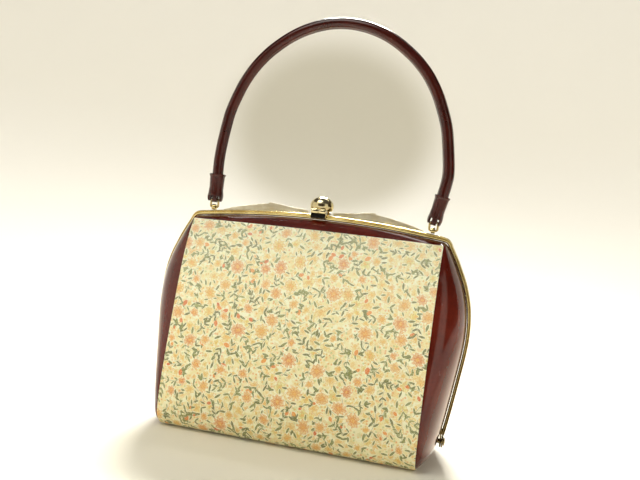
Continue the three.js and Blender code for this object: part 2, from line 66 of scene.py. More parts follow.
def lut(tab, x):
    """Smooth table lookup with finite-difference tangents."""
    tab = np.asarray(tab, float)
    X, Y = tab[:, 0], tab[:, 1]
    m = np.empty(len(X))
    m[0] = (Y[1] - Y[0]) / (X[1] - X[0])
    m[-1] = (Y[-1] - Y[-2]) / (X[-1] - X[-2])
    m[1:-1] = (Y[2:] - Y[:-2]) / (X[2:] - X[:-2])
    x = np.clip(np.asarray(x, float), X[0], X[-1])
    i = np.clip(np.searchsorted(X, x, side="right") - 1, 0, len(X) - 2)
    h = X[i + 1] - X[i]
    t = (x - X[i]) / h
    t2, t3 = t * t, t * t * t
    return (2 * t3 - 3 * t2 + 1) * Y[i] + (t3 - 2 * t2 + t) * h * m[i] + (3 * t2 - 2 * t3) * Y[i + 1] + (t3 - t2) * h * m[i + 1]


SKIN_B = LOW_B + [[z, b - 1.8] for z, b in B_TAB if z >= 30]


def smooth(t):
    t = np.clip(t, 0, 1)
    return t * t * (3 - 2 * t)


def bar_z(x):
    return 178 + 7.7 * (1 - (np.asarray(x, float) / 109) ** 2)


def skin(s, m, o):
    """Front half of the bag's skin: s across (-2..2, cloth edge at +-1), m from the bar (-1) over the face (0..1),
    round the bottom (1..2) to the middle line of the underside (3); o is the offset inwards."""
    s, m = np.broadcast_arrays(np.asarray(s, float), np.asarray(m, float))
    face = np.clip(m, 0, 1)
    z = 173 - face * 157
    D = lut(D_TAB, z) - o
    phi = np.radians(90 * (1 - np.clip(m - 1, 0, 1)))
    low = m > 1
    z = np.where(low, 16 - (15 - o) * np.cos(phi), z)
    D = np.where(low, 32.6 + (15 - o) * np.sin(phi), D)
    b = lut(SKIN_B, z) - o
    p = np.minimum(CLOTH_HALF, b - 1)
    a, sg = np.abs(s), np.sign(s)
    crown = 3 * smooth((z - 16) / 14)
    y0 = 1.2 * smooth((z - 14) / 10)
    t = np.clip(a - 1, 0, 1) * math.pi / 2
    x = np.where(a <= 1, s * p, sg * (p + (b - p) * np.sin(t)))
    y = np.where(a <= 1, -(D + crown * (1 - s * s)), -(y0 + (D - y0) * np.cos(t)))
    under = np.clip(m - 2, 0, 1)
    y = y * (1 - under)
    # the roof
    v = np.clip(-m, 0, 1)
    half = lut(B_TAB, 173) - 1.8 - o
    rx = (x / half) * (106.2 - o)
    ex, ey, ez = rx, -(4.7 - 0.85 * o), bar_z(rx) - 2.4 - 0.75 * o
    q = v + 0.35 * v * (1 - v)
    roof = m < 0
    x = np.where(roof, x + (ex - x) * v, x)
    y = np.where(roof, y + (ey - y) * v, y)
    z = np.where(roof, z + (ez - z) * q, z)
    return np.stack([x, y, z], -1)


# ------------------------------------------------------------------ meshes
def make(name, verts, faces, angle=35, closed=True, smooth_shade=True):
    me = bpy.data.meshes.new(name)
    me.from_pydata([tuple(p) for p in (np.asarray(verts, float) * 0.001)], [], faces)
    me.update()
    if closed:
        bm = bmesh.new()
        bm.from_mesh(me)
        bmesh.ops.recalc_face_normals(bm, faces=bm.faces)
        bm.to_mesh(me)
        bm.free()
    if smooth_shade:
        me.polygons.foreach_set("use_smooth", [True] * len(me.polygons))
        me.set_sharp_from_angle(angle=math.radians(angle))
    ob = bpy.data.objects.new(name, me)
    bpy.context.scene.collection.objects.link(ob)
    return ob


class Soup:
    """Collects closed shells into one mesh."""

    def __init__(self):
        self.v, self.f = [], []

    def add(self, verts, faces):
        k = len(self.v)
        self.v.extend([tuple(p) for p in verts])
        self.f.extend([tuple(i + k for i in f) for f in faces])

    def loft(self, rings, closed=False, caps=True):
        rings = np.asarray(rings, float)
        R, N = rings.shape[:2]
        faces = []
        for r in range(R if closed else R - 1):
            a, b = r * N, ((r + 1) % R) * N
            for c in range(N):
                d = (c + 1) % N
                faces.append((a + c, a + d, b + d, b + c))
        if caps and not closed:
            faces.append(tuple(range(N))[::-1])
            faces.append(tuple((R - 1) * N + c for c in range(N)))
        self.add(rings.reshape(-1, 3), faces)

    def torus_loft(self, rings):
        """Rings that each close on themselves, the last ring joined to the first."""
        self.loft(rings, closed=True)

    def box(self, lo, hi, ch=0.3):
        lo, hi = np.array(lo, float), np.array(hi, float)

        def rect(z, k):
            x0, y0, x1, y1 = lo[0] + k, lo[1] + k, hi[0] - k, hi[1] - k
            e = ch * 0.6
            pts = []
            for cx, cy, sx, sy in [(x1, y1, 1, 1), (x0, y1, -1, 1), (x0, y0, -1, -1), (x1, y0, 1, -1)]:
                order = [(0, -1), (-1, 0)] if sx * sy > 0 else [(-1, 0), (0, -1)]
                for ox, oy in order:
                    pts.append((cx + ox * e * sx, cy + oy * e * sy, z))
            return pts

        self.loft([rect(lo[2], ch), rect(lo[2] + ch, 0), rect(hi[2] - ch, 0), rect(hi[2], ch)])

    def mesh(self, name, angle=35):
        return make(name, self.v, self.f, angle)


def grid_faces(R, C, k=0, flip=False):
    i = np.arange((R - 1) * (C - 1))
    r, c = i // (C - 1), i % (C - 1)
    a = k + r * C + c
    q = np.stack([a, a + 1, a + C + 1, a + C], -1)
    return (q[:, ::-1] if flip else q).tolist()


def thick(name, A, B, angle=40):
    """A closed sheet between two equal grids."""
    A, B = np.asarray(A, float), np.asarray(B, float)
    R, C = A.shape[:2]
    n = R * C
    faces = grid_faces(R, C) + grid_faces(R, C, n, True)
    for c in range(C - 1):
        faces.append((c, n + c, n + c + 1, c + 1))
        k = (R - 1) * C
        faces.append((k + c, k + c + 1, n + k + c + 1, n + k + c))
    for r in range(R - 1):
        faces.append((r * C, (r + 1) * C, n + (r + 1) * C, n + r * C))
        k = C - 1
        faces.append((r * C + k, n + r * C + k, n + (r + 1) * C + k, (r + 1) * C + k))
    return make(name, np.concatenate([A.reshape(-1, 3), B.reshape(-1, 3)]), faces, angle)


def catmull(P, sub, closed=False):
    """Centripetal-like spline through points of any dimension."""
    P = np.asarray(P, float)
    n = len(P)
    ext = np.vstack([P[0] * 2 - P[1], P, P[-1] * 2 - P[-2]]) if not closed else np.vstack([P[-1:], P, P[:2]])
    out = []
    for i in range(n if closed else n - 1):
        p0, p1, p2, p3 = ext[i], ext[i + 1], ext[i + 2], ext[i + 3]
        d = [max(np.linalg.norm(b[:2] - a[:2]) ** 0.5, 1e-4) for a, b in ((p0, p1), (p1, p2), (p2, p3))]
        t0, t1 = 0, d[0]
        t2, t3 = t1 + d[1], t1 + d[1] + d[2]
        for k in range(sub):
            t = t1 + (t2 - t1) * k / sub
            a1 = (t1 - t) / (t1 - t0) * p0 + (t - t0) / (t1 - t0) * p1
            a2 = (t2 - t) / (t2 - t1) * p1 + (t - t1) / (t2 - t1) * p2
            a3 = (t3 - t) / (t3 - t2) * p2 + (t - t2) / (t3 - t2) * p3
            b1 = (t2 - t) / (t2 - t0) * a1 + (t - t0) / (t2 - t0) * a2
            b2 = (t3 - t) / (t3 - t1) * a2 + (t - t1) / (t3 - t1) * a3
            out.append((t2 - t) / (t2 - t1) * b1 + (t - t1) / (t2 - t1) * b2)
    if not closed:
        out.append(P[-1])
    return np.array(out)


def resample(P, n):
    L = np.concatenate([[0], np.cumsum(np.linalg.norm(np.diff(P[:, :2], axis=0), axis=1))])
    t = np.linspace(0, L[-1], n)
    return np.stack([np.interp(t, L, P[:, k]) for k in range(P.shape[1])], -1), t


def rods_x(r, x0, x1, y, z, n=28, ch=0.15):
    out = []
    for x, q in ((x0, r - ch), (x0 + ch, r), (x1 - ch, r), (x1, r - ch)):
        out.append([(x, y + q * math.cos(a), z + q * math.sin(a)) for a in np.linspace(0, 2 * math.pi, n, endpoint=False)])
    return out


def bevel_copy(node, name, width, segments=2, angle=30):
    src = NODES[node]
    me = src.data.copy()
    ob = bpy.data.objects.new(name, me)
    bpy.context.scene.collection.objects.link(ob)
    me.materials.clear()
    bm = bmesh.new()
    bm.from_mesh(me)
    bmesh.ops.remove_doubles(bm, verts=bm.verts, dist=1e-6)
    bmesh.ops.dissolve_limit(bm, angle_limit=math.radians(1), verts=bm.verts, edges=bm.edges)
    bm.to_mesh(me)
    bm.free()
    mod = ob.modifiers.new("edge", "BEVEL")
    mod.width = width * 0.001
    mod.segments = segments
    mod.limit_method = "ANGLE"
    mod.angle_limit = math.radians(angle)
    mod.use_clamp_overlap = True
    dg = bpy.context.evaluated_depsgraph_get()
    done = bpy.data.meshes.new_from_object(ob.evaluated_get(dg), depsgraph=dg)
    ob.modifiers.clear()
    ob.data = done
    done.polygons.foreach_set("use_smooth", [True] * len(done.polygons))
    done.set_sharp_from_angle(angle=math.radians(40))
    return ob


# ------------------------------------------------------------------ materials
def lin(r, g, b):
    f = lambda c: c / 12.92 if c <= 0.04045 else ((c + 0.055) / 1.055) ** 2.4
    return (f(r / 255), f(g / 255), f(b / 255), 1.0)


class Mat:
    def __init__(self, name):
        self.m = bpy.data.materials.new(name)
        self.m.use_nodes = True
        self.t = self.m.node_tree
        self.t.nodes.clear()
        self.out = self.t.nodes.new("ShaderNodeOutputMaterial")
        self.b = self.t.nodes.new("ShaderNodeBsdfPrincipled")
        self.t.links.new(self.b.outputs[0], self.out.inputs["Surface"])

    def put(self, sock, v):
        if isinstance(v, bpy.types.NodeSocket):
            self.t.links.new(v, sock)
        elif v is not None:
            sock.default_value = v

    def set(self, **kw):
        for k, v in kw.items():
            self.put(self.b.inputs[k.replace("_", " ")], v)

    def node(self, kind, out=0, ins=None, **props):
        n = self.t.nodes.new(kind)
        for k, v in props.items():
            setattr(n, k, v)
        for k, v in (ins or {}).items():
            self.put(n.inputs[k], v)
        return n.outputs[out]

    def math(self, op, a, b=None, c=None, clamp=False):
        n = self.t.nodes.new("ShaderNodeMath")
        n.operation = op
        n.use_clamp = clamp
        for i, v in enumerate((a, b, c)):
            self.put(n.inputs[i], v)
        return n.outputs[0]

    def mix(self, f, a, b, blend="MIX"):
        n = self.t.nodes.new("ShaderNodeMix")
        n.data_type = "RGBA"
        n.blend_type = blend
        self.put(n.inputs[0], f)
        self.put(n.inputs[6], a)
        self.put(n.inputs[7], b)
        return n.outputs[2]

    def fmix(self, f, a, b):
        n = self.t.nodes.new("ShaderNodeMix")
        n.data_type = "FLOAT"
        self.put(n.inputs[0], f)
        self.put(n.inputs[2], a)
        self.put(n.inputs[3], b)
        return n.outputs[0]

    def ramp(self, f, stops, interp="LINEAR"):
        n = self.t.nodes.new("ShaderNodeValToRGB")
        n.color_ramp.interpolation = interp
        e = n.color_ramp.elements
        while len(e) < len(stops):
            e.new(0.5)
        for k, (p, c) in enumerate(stops):
            e[k].position = p
            e[k].color = c if len(c) == 4 else (*c, 1)
        self.put(n.inputs[0], f)
        return n.outputs[0]

    def range(self, v, a, b, lo=0.0, hi=1.0, kind="SMOOTHSTEP"):
        n = self.t.nodes.new("ShaderNodeMapRange")
        n.interpolation_type = kind
        n.clamp = True
        for i, q in enumerate((v, a, b, lo, hi)):
            self.put(n.inputs[i], q)
        return n.outputs[0]

    def obj(self):
        return self.node("ShaderNodeTexCoord", "Object")

    def noise(self, vec, scale, detail=2.0, rough=0.5, dist=0.0, out="Fac"):
        return self.node("ShaderNodeTexNoise", out, {"Vector": vec, "Scale": scale, "Detail": detail, "Roughness": rough, "Distortion": dist})

    def scaled(self, vec, s):
        return self.node("ShaderNodeVectorMath", 0, {0: vec, 1: s}, operation="MULTIPLY")

    def attr(self, name, out="Vector"):
        return self.node("ShaderNodeAttribute", out, attribute_name=name)

    def xyz(self, v):
        n = self.t.nodes.new("ShaderNodeSeparateXYZ")
        self.put(n.inputs[0], v)
        return n.outputs[0], n.outputs[1], n.outputs[2]

    def bump(self, h, strength, dist, normal=None):
        return self.node("ShaderNodeBump", 0, {"Height": h, "Strength": strength, "Distance": dist, "Normal": normal} if normal is not None
                         else {"Height": h, "Strength": strength, "Distance": dist})


def patent(name, deep=(74, 15, 5), light=(104, 30, 12), seed=0.0, film=1.45):
    """Glossy burgundy patent leather: dyed grain under a thick clear film."""
    m = Mat(name)
    o = m.obj()
    cloud = m.noise(o, 30 + seed, 4, 0.6)
    col = m.ramp(cloud, [(0.32, lin(*deep)), (0.55, lin(*[(a + b) // 2 for a, b in zip(deep, light)])), (0.74, lin(*light))])
    fine = m.noise(o, 420, 3, 0.6)
    col = m.mix(m.range(fine, 0.40, 0.75, 0.0, 0.22), col, lin(*[int(c * 0.6) for c in deep]))
    m.set(Base_Color=col)
    rough = m.math("ADD", m.math("MULTIPLY", m.noise(o, 60, 4, 0.65), 0.14), 0.16)
    scuff = m.range(m.noise(m.scaled(o, (160.0, 160.0, 30.0)), 1.0, 4, 0.7), 0.60, 0.74, 0.0, 0.12)
    m.set(Roughness=m.math("ADD", rough, scuff))
    wave = m.noise(o, 26, 2, 0.45)
    n1 = m.bump(wave, 0.12, 0.0012)
    n2 = m.bump(m.noise(o, 260, 2, 0.5), 0.03, 0.0003, n1)
    m.set(Normal=n2)
    m.put(m.b.inputs["Coat Normal"], n1)
    m.b.inputs["Coat Weight"].default_value = 1.0
    m.b.inputs["Coat Roughness"].default_value = 0.05
    m.b.inputs["Coat IOR"].default_value = film
    m.b.inputs["IOR"].default_value = 1.30
    return m.m


def metal(name, light, dark, rough=0.16, scratch=0.5, relief=None, painted_reflection_low_arms=False, body=1.0):
    m = Mat(name)
    o = m.obj()
    big = m.noise(o, 55, 4, 0.6)
    fine = m.noise(m.scaled(o, (260.0, 900.0, 900.0)), 1.0, 3, 0.6)
    spots = m.noise(o, 340, 3, 0.7)
    col = m.mix(m.range(big, 0.38, 0.68), lin(*light), lin(*dark))
    col = m.mix(m.range(spots, 0.62, 0.78, 0.0, 0.25), col, lin(*[int(c * 0.7) for c in dark]))
    if painted_reflection_low_arms:
        # painted dark reflection: the side arms darken towards their lower ends
        ox, oy, oz = m.xyz(o)
        low = m.math("MULTIPLY", m.range(oz, 0.13, 0.07, 0, 0.8), m.range(m.math("ABSOLUTE", ox), 0.108, 0.112, 0, 1))
        col = m.mix(low, col, lin(112, 98, 66))
    m.set(Base_Color=col, Metallic=body)
    r = m.math("ADD", rough, m.math("MULTIPLY", fine, 0.16 * scratch))
    r = m.math("ADD", r, m.range(spots, 0.55, 0.80, 0.0, 0.16))
    m.set(Roughness=r)
    n = m.bump(fine, 0.06 * scratch, 0.0002)
    n = m.bump(m.noise(o, 120, 2, 0.5), 0.05, 0.0006, n)
    if relief:
        n = m.bump(m.noise(o, relief, 2, 0.6, 1.5), 0.10, 0.0003, n)
    m.set(Normal=n)
    return m.m


def woven(name, c1, c2, c3, pitch=0.55):
    """Plain woven lining with threads in two directions."""
    m = Mat(name)
    o = m.obj()
    x, y, z = m.xyz(o)
    k = 2 * math.pi / (pitch * 0.001)
    u = m.math("SINE", m.math("MULTIPLY", x, k))
    w = m.math("SINE", m.math("MULTIPLY", m.math("ADD", z, m.math("MULTIPLY", y, 0.7)), k))
    weave = m.math("ADD", m.math("MULTIPLY", m.math("MULTIPLY", u, w), 0.5), 0.5)
    cloud = m.noise(o, 30, 4, 0.6)
    slub = m.noise(m.scaled(o, (40.0, 40.0, 900.0)), 1.0, 2, 0.6)
    col = m.ramp(cloud, [(0.3, lin(*c1)), (0.55, lin(*c2)), (0.75, lin(*c3))])
    col = m.mix(m.math("MULTIPLY", weave, 0.28), col, lin(*[int(c * 0.7) for c in c1]))
    m.set(Base_Color=col, Roughness=m.math("ADD", 0.62, m.math("MULTIPLY", slub, 0.3)))
    n = m.bump(weave, 0.35, 0.0003)
    n = m.bump(slub, 0.18, 0.0003, n)
    m.set(Normal=n)
    m.b.inputs["Sheen Weight"].default_value = 0.25
    m.b.inputs["Sheen Roughness"].default_value = 0.4
    return m.m


def board(name):
    m = Mat(name)
    o = m.obj()
    f = m.noise(m.scaled(o, (90.0, 90.0, 700.0)), 1.0, 5, 0.7)
    s = m.noise(o, 420, 4, 0.7)
    col = m.mix(m.range(f, 0.3, 0.7), lin(168, 150, 120), lin(122, 104, 80))
    col = m.mix(m.range(s, 0.6, 0.75, 0, 0.5), col, lin(84, 72, 58))
    m.set(Base_Color=col, Roughness=m.math("ADD", 0.72, m.math("MULTIPLY", s, 0.25)))
    m.set(Normal=m.bump(s, 0.4, 0.0003))
    return m.m


def cordmat(name):
    m = Mat(name)
    o = m.obj()
    f = m.noise(m.scaled(o, (500.0, 500.0, 500.0)), 1.0, 4, 0.7)
    x, y, z = m.xyz(o)
    tw = m.math("SINE", m.math("MULTIPLY", m.math("ADD", m.math("ADD", x, z), m.math("MULTIPLY", y, 2.0)), 3200.0))
    m.set(Base_Color=m.mix(m.range(f, 0.3, 0.7), lin(222, 212, 188), lin(176, 162, 132)),
          Roughness=m.math("ADD", 0.7, m.math("MULTIPLY", f, 0.25)))
    m.set(Normal=m.bump(tw, 0.4, 0.0004))
    return m.m


def printed_cloth(name):
    """Cream ribbed furnishing cloth with a small flower print. The print's shapes come from each element's own
    coordinates, which the mesh carries: leaf_v, stem_v, pale_v and deep_v."""
    m = Mat(name)
    pat = m.attr("pat_v")
    u, w, _ = m.xyz(pat)
    edge_n = m.noise(m.scaled(pat, (0.9, 0.9, 0.9)), 1.0, 3, 0.6)
    jag = m.math("SUBTRACT", edge_n, 0.5)
    # ground
    g1 = m.noise(pat, 0.075, 3, 0.55)
    g2 = m.noise(m.scaled(pat, (0.16, 0.16, 0.16)), 1.0, 2, 0.5)
    ground = m.ramp(g1, [(0.30, lin(250, 247, 234)), (0.45, lin(248, 240, 212)), (0.55, lin(244, 230, 190)), (0.70, lin(250, 246, 230))])
    ground = m.mix(m.range(g2, 0.50, 0.60, 0, 0.85), ground, lin(252, 252, 246))
    cell = m.node("ShaderNodeTexVoronoi", "Distance", {"Vector": pat, "Scale": 0.17, "Randomness": 1.0}, feature="F1", voronoi_dimensions="2D")
    cellc = m.node("ShaderNodeTexVoronoi", "Color", {"Vector": pat, "Scale": 0.17, "Randomness": 1.0}, feature="F1", voronoi_dimensions="2D")
    cr, cg, cb = m.xyz(cellc)
    blot = m.range(m.math("ADD", cell, m.math("MULTIPLY", jag, 0.5)), 0.42, 0.34, 0, 1)
    blotcol = m.ramp(cr, [(0.0, lin(246, 221, 160)), (0.35, lin(247, 226, 190)), (0.6, lin(242, 208, 150)), (0.8, lin(224, 226, 190)), (1.0, lin(245, 214, 178))])
    ground = m.mix(m.math("MULTIPLY", blot, m.range(cg, 0.30, 0.50, 0.0, 0.75)), ground, blotcol)
    cell2 = m.node("ShaderNodeTexVoronoi", "Distance", {"Vector": pat, "Scale": 0.42, "Randomness": 1.0}, feature="F1", voronoi_dimensions="2D")
    c2c = m.node("ShaderNodeTexVoronoi", "Color", {"Vector": pat, "Scale": 0.42, "Randomness": 1.0}, feature="F1", voronoi_dimensions="2D")
    c2r, c2g, _b = m.xyz(c2c)
    tiny = m.math("MULTIPLY", m.range(m.math("ADD", cell2, m.math("MULTIPLY", jag, 0.5)), 0.42, 0.26, 0, 1), m.range(c2g, 0.45, 0.52, 0, 0.75, "LINEAR"))
    tinycol = m.ramp(c2r, [(0.0, lin(232, 188, 112)), (0.3, lin(236, 170, 120)), (0.55, lin(196, 204, 160)), (0.8, lin(242, 204, 140)), (1.0, lin(226, 150, 104))], "CONSTANT")
    col = m.mix(tiny, ground, tinycol)

    def bloom(col, attr, tones, petals, outline, alpha, heart, wash):
        X, Y, S = m.xyz(m.attr(attr))
        tone = m.attr(attr, "Alpha")
        r = m.math("SQRT", m.math("ADD", m.math("MULTIPLY", X, X), m.math("MULTIPLY", Y, Y)))
        th = m.math("ARCTAN2", Y, X)
        near = m.range(S, 0.9, 0.4, 0.0, 1.0)
        col = m.mix(m.range(m.math("ADD", S, m.math("MULTIPLY", jag, 1.2)), 0.75, 0.05, 0.0, 0.75), col, lin(253, 252, 246))
        rn = m.math("MULTIPLY", r, m.math("ADD", 1.0, m.math("MULTIPLY", jag, 0.85)))
        lob = m.math("ABSOLUTE", m.math("COSINE", m.math("ADD", m.math("MULTIPLY", th, petals / 2.0), m.math("MULTIPLY", jag, 1.4))))
        rb = m.math("ADD", 0.66, m.math("MULTIPLY", m.math("POWER", lob, 0.6), 0.34))
        q = m.math("DIVIDE", rn, rb)
        body = m.math("MULTIPLY", m.range(q, 1.04, 0.92, 0, 1), near)
        tint = m.ramp(tone, tones)
        cream = lin(251, 242, 200)
        c = m.mix(m.range(m.math("ADD", q, m.math("MULTIPLY", jag, 1.1)), 0.30, 1.0, wash, wash * 0.5), cream, tint)
        ray = m.math("ABSOLUTE", m.math("SINE", m.math("ADD", m.math("MULTIPLY", th, petals * 1.5), m.math("MULTIPLY", jag, 3.0))))
        rayf = m.math("MULTIPLY", m.range(ray, 0.45, 0.80, 0, 1), m.math("MULTIPLY", m.range(q, 0.30, 0.45, 0, 1), m.range(q, 1.0, 0.8, 0, 1)))
        c = m.mix(m.math("MULTIPLY", rayf, 0.62), c, lin(253, 247, 212))
        veins = m.math("ABSOLUTE", m.math("SINE", m.math("MULTIPLY", th, petals * 2.0)))
        vein = m.math("MULTIPLY", m.range(veins, 0.42, 0.10, 0, 1), m.math("MULTIPLY", m.range(q, 0.30, 0.42, 0, 1), m.range(q, 0.90, 0.76, 0, 1)))
        c = m.mix(m.math("MULTIPLY", vein, 0.45), c, outline)
        part = m.math("MULTIPLY", m.range(lob, 0.34, 0.12, 0, 1), m.range(q, 0.25, 0.40, 0, 1))
        c = m.mix(m.math("MULTIPLY", part, 0.6), c, outline)
        lob2 = m.math("ABSOLUTE", m.math("COSINE", m.math("ADD", m.math("MULTIPLY", th, petals / 2.0), 1.57)))
        q2 = m.math("DIVIDE", rn, m.math("ADD", 0.36, m.math("MULTIPLY", lob2, 0.17)))
        ring2 = m.math("MULTIPLY", m.range(q2, 0.80, 0.95, 0, 1), m.range(q2, 1.20, 1.02, 0, 1))
        c = m.mix(m.math("MULTIPLY", ring2, 0.45), c, outline)
        c = m.mix(m.math("MULTIPLY", m.range(q, 0.82, 0.93, 0, 1), 0.62), c, outline)
        dots = m.range(m.noise(m.scaled(pat, (2.6, 2.6, 2.6)), 1.0, 1, 0.5), 0.42, 0.58, 0, 1)
        c = m.mix(m.range(rn, 0.34, 0.20, 0, 1), c, m.mix(dots, heart, lin(253, 228, 150)))
        return m.mix(m.math("MULTIPLY", body, alpha), col, c)

    col = bloom(col, "pale_v", [(0.0, lin(240, 216, 132)), (0.20, lin(242, 202, 136)), (0.38, lin(238, 220, 110)), (0.54, lin(240, 190, 124)), (0.70, lin(244, 222, 160)),
                                (0.86, lin(216, 218, 134)), (1.0, lin(236, 160, 96))], 5.0, lin(216, 160, 92), 0.92, lin(222, 146, 64), 0.95)
    # stems
    LA, LB, LS = m.xyz(m.attr("leaf_v"))
    lt = m.attr("leaf_v", "Alpha")
    SL, SD, ST = m.xyz(m.attr("stem_v"))
    halo = m.math("MINIMUM", LS, m.math("ADD", SD, 0.15))
    col = m.mix(m.range(m.math("ADD", halo, m.math("MULTIPLY", jag, 0.9)), 0.85, 0.15, 0.0, 0.72), col, lin(253, 252, 244))
    sw = m.math("ADD", 0.12, m.math("MULTIPLY", jag, 0.12))
    stem = m.math("MULTIPLY", m.range(m.math("SUBTRACT", m.math("ABSOLUTE", SL), sw), 0.10, -0.08, 0, 1), m.range(SD, 0.6, 0.35, 0, 1))
    col = m.mix(m.math("MULTIPLY", stem, 0.9), col, m.ramp(ST, [(0.0, lin(96, 98, 62)), (0.6, lin(122, 120, 78)), (1.0, lin(140, 128, 84))]))
    # leaves and buds
    arch = m.math("MULTIPLY", m.math("MULTIPLY", LA, m.math("SUBTRACT", 1.0, LA)), 4.0, clamp=True)
    wide = m.math("MULTIPLY", m.math("POWER", arch, 0.72), m.range(lt, 0.78, 0.80, 0.150, 0.32, "LINEAR"))
    wide = m.math("ADD", wide, m.math("MULTIPLY", jag, 0.07))
    d = m.math("SUBTRACT", m.math("ABSOLUTE", LB), wide)
    leaf = m.math("MULTIPLY", m.range(d, 0.025, -0.035, 0, 1), m.range(LS, 0.6, 0.3, 0, 1))
    green = m.ramp(lt, [(0.0, lin(56, 68, 24)), (0.2, lin(76, 92, 32)), (0.42, lin(92, 106, 42)), (0.60, lin(70, 98, 42)), (0.70, lin(62, 92, 52)),
                        (0.79, lin(158, 162, 96)), (0.80, lin(216, 96, 54)), (0.88, lin(232, 124, 66)), (1.0, lin(242, 164, 84))])
    hollow = m.math("MULTIPLY", m.range(d, -0.045, -0.085, 0, 1), m.range(lt, 0.30, 0.34, 0.35, 0.8, "LINEAR"))
    hollow = m.math("MULTIPLY", hollow, m.range(lt, 0.80, 0.78, 0.0, 1.0, "LINEAR"))
    inner = m.mix(0.28, green, lin(226, 224, 160))
    gcol = m.mix(hollow, green, inner)
    mid = m.range(m.math("ABSOLUTE", LB), 0.035, 0.015, 0, 0.22)
    gcol = m.mix(mid, gcol, lin(214, 208, 150))
    col = m.mix(m.math("MULTIPLY", leaf, 0.94), col, gcol)
    col = bloom(col, "deep_v", [(0.0, lin(238, 158, 66)), (0.20, lin(234, 142, 70)), (0.38, lin(240, 190, 86)), (0.55, lin(236, 204, 104)), (0.70, lin(240, 174, 104)), (0.86, lin(222, 100, 54)), (1.0, lin(236, 152, 80))],
                9.0, lin(210, 122, 58), 0.96, lin(226, 112, 48), 1.0)
    # threads: fine ribs across the cloth, a slower twill, slubs
    rib = m.math("ADD", m.math("MULTIPLY", m.math("SINE", m.math("MULTIPLY", w, 2 * math.pi / 0.92)), 0.5), 0.5)
    warp = m.math("ADD", m.math("MULTIPLY", m.math("SINE", m.math("ADD", m.math("MULTIPLY", u, 2 * math.pi / 0.62), m.math("MULTIPLY", jag, 3.0))), 0.5), 0.5)
    slub = m.noise(m.scaled(pat, (0.35, 2.4, 1.0)), 1.0, 3, 0.65)
    col = m.mix(m.math("MULTIPLY", m.math("SUBTRACT", 1.0, rib), 0.20), col, m.mix(0.5, col, lin(158, 130, 76)))
    col = m.mix(m.range(slub, 0.56, 0.72, 0, 0.16), col, lin(255, 252, 236))
    fleck = m.noise(m.scaled(pat, (1.1, 1.9, 1.0)), 1.0, 2, 0.6)
    col = m.mix(m.range(fleck, 0.56, 0.64, 0, 0.42), col, lin(254, 253, 244))
    col = m.mix(m.range(fleck, 0.44, 0.36, 0, 0.34), col, m.mix(0.5, col, lin(170, 130, 62)))
    col = m.mix(1.0, col, lin(250, 255, 240), "MULTIPLY")
    # painted light and shade: the cloth colour is lightened towards the top and darkened towards the bottom
    ox, oy, oz = m.xyz(m.obj())
    col = m.mix(m.range(oz, 0.07, 0.172, 0.0, 0.18, "LINEAR"), col, lin(255, 254, 232))
    col = m.mix(m.range(oz, 0.165, 0.0, 0.0, 0.30, "LINEAR"), col, m.mix(1.0, col, lin(236, 214, 160), "MULTIPLY"))
    m.set(Base_Color=col, Roughness=m.math("ADD", 0.70, m.math("MULTIPLY", slub, 0.2)))
    ink = m.math("MAXIMUM", leaf, stem)
    h = m.math("ADD", m.math("MULTIPLY", rib, 0.5), m.math("ADD", m.math("MULTIPLY", warp, 0.25), m.math("MULTIPLY", ink, 0.45)))
    n = m.bump(h, 0.40, 0.00022)
    n = m.bump(m.noise(m.scaled(pat, (0.05, 0.05, 0.05)), 1.0, 3, 0.5), 0.14, 0.0016, n)
    m.set(Normal=n)
    m.b.inputs["Sheen Weight"].default_value = 0.04
    m.b.inputs["Sheen Roughness"].default_value = 0.35
    return m.m


M_CLOTH = printed_cloth("printed_cloth")
M_PATENT = patent("patent_burgundy")
M_PATENT2 = patent("patent_handle", (50, 9, 3), (72, 18, 8), 5.0, 1.33)
M_GILT = metal("pale_gilt", (222, 204, 146), (194, 172, 112), 0.15, 0.4, painted_reflection_low_arms=True)
M_BALL = metal("ball_gilt", (224, 212, 172), (198, 182, 132), 0.11, 0.3)
M_CREST = metal("engraved_gilt", (238, 232, 214), (216, 204, 172), 0.26, 0.4, 700, body=0.6)
# painted dark reflection: black finish for the plate on the catch's front face
M_CATCH_PAINTED_REFLECTION = patent("catch_painted_reflection_black", (14, 12, 8), (26, 22, 16), 9.0, 1.3)
M_STEEL = metal("pin_steel", (190, 190, 186), (150, 150, 148), 0.25, 1.0)
M_LINING = woven("lining_cloth", (104, 82, 58), (124, 100, 74), (140, 118, 90))
M_BOARD = board("stiff_board")
M_CORD = cordmat("filler_cord")


def dress(ob, mat):
    ob.data.materials.clear()
    ob.data.materials.append(mat)
    return ob


def flip_y(P):
    P = np.array(P, float)
    P[..., 1] *= -1
    return P


# ------------------------------------------------------------------ camera
C = np.array([156.6, -603.7, 186.9])
yaw, pitch, roll = (math.radians(v) for v in (14.27, 1.87, 6.14))
d = np.array([-math.sin(yaw) * math.cos(pitch), math.cos(yaw) * math.cos(pitch), -math.sin(pitch)])
r = np.array([math.cos(yaw), math.sin(yaw), 0])
u = np.cross(r, d)
r2, u2 = r * math.cos(roll) + u * math.sin(roll), -r * math.sin(roll) + u * math.cos(roll)
cam = bpy.data.objects.new("camera", bpy.data.cameras.new("camera"))
bpy.context.scene.collection.objects.link(cam)
cam.data.sensor_width = 36
cam.data.lens = 740 / 640 * 36
cam.data.clip_start = 0.02
cam.data.clip_end = 30
cam.matrix_world = Matrix([[r2[i], u2[i], -d[i], C[i] * 0.001] for i in range(3)] + [[0, 0, 0, 1]])
bpy.context.scene.camera = cam

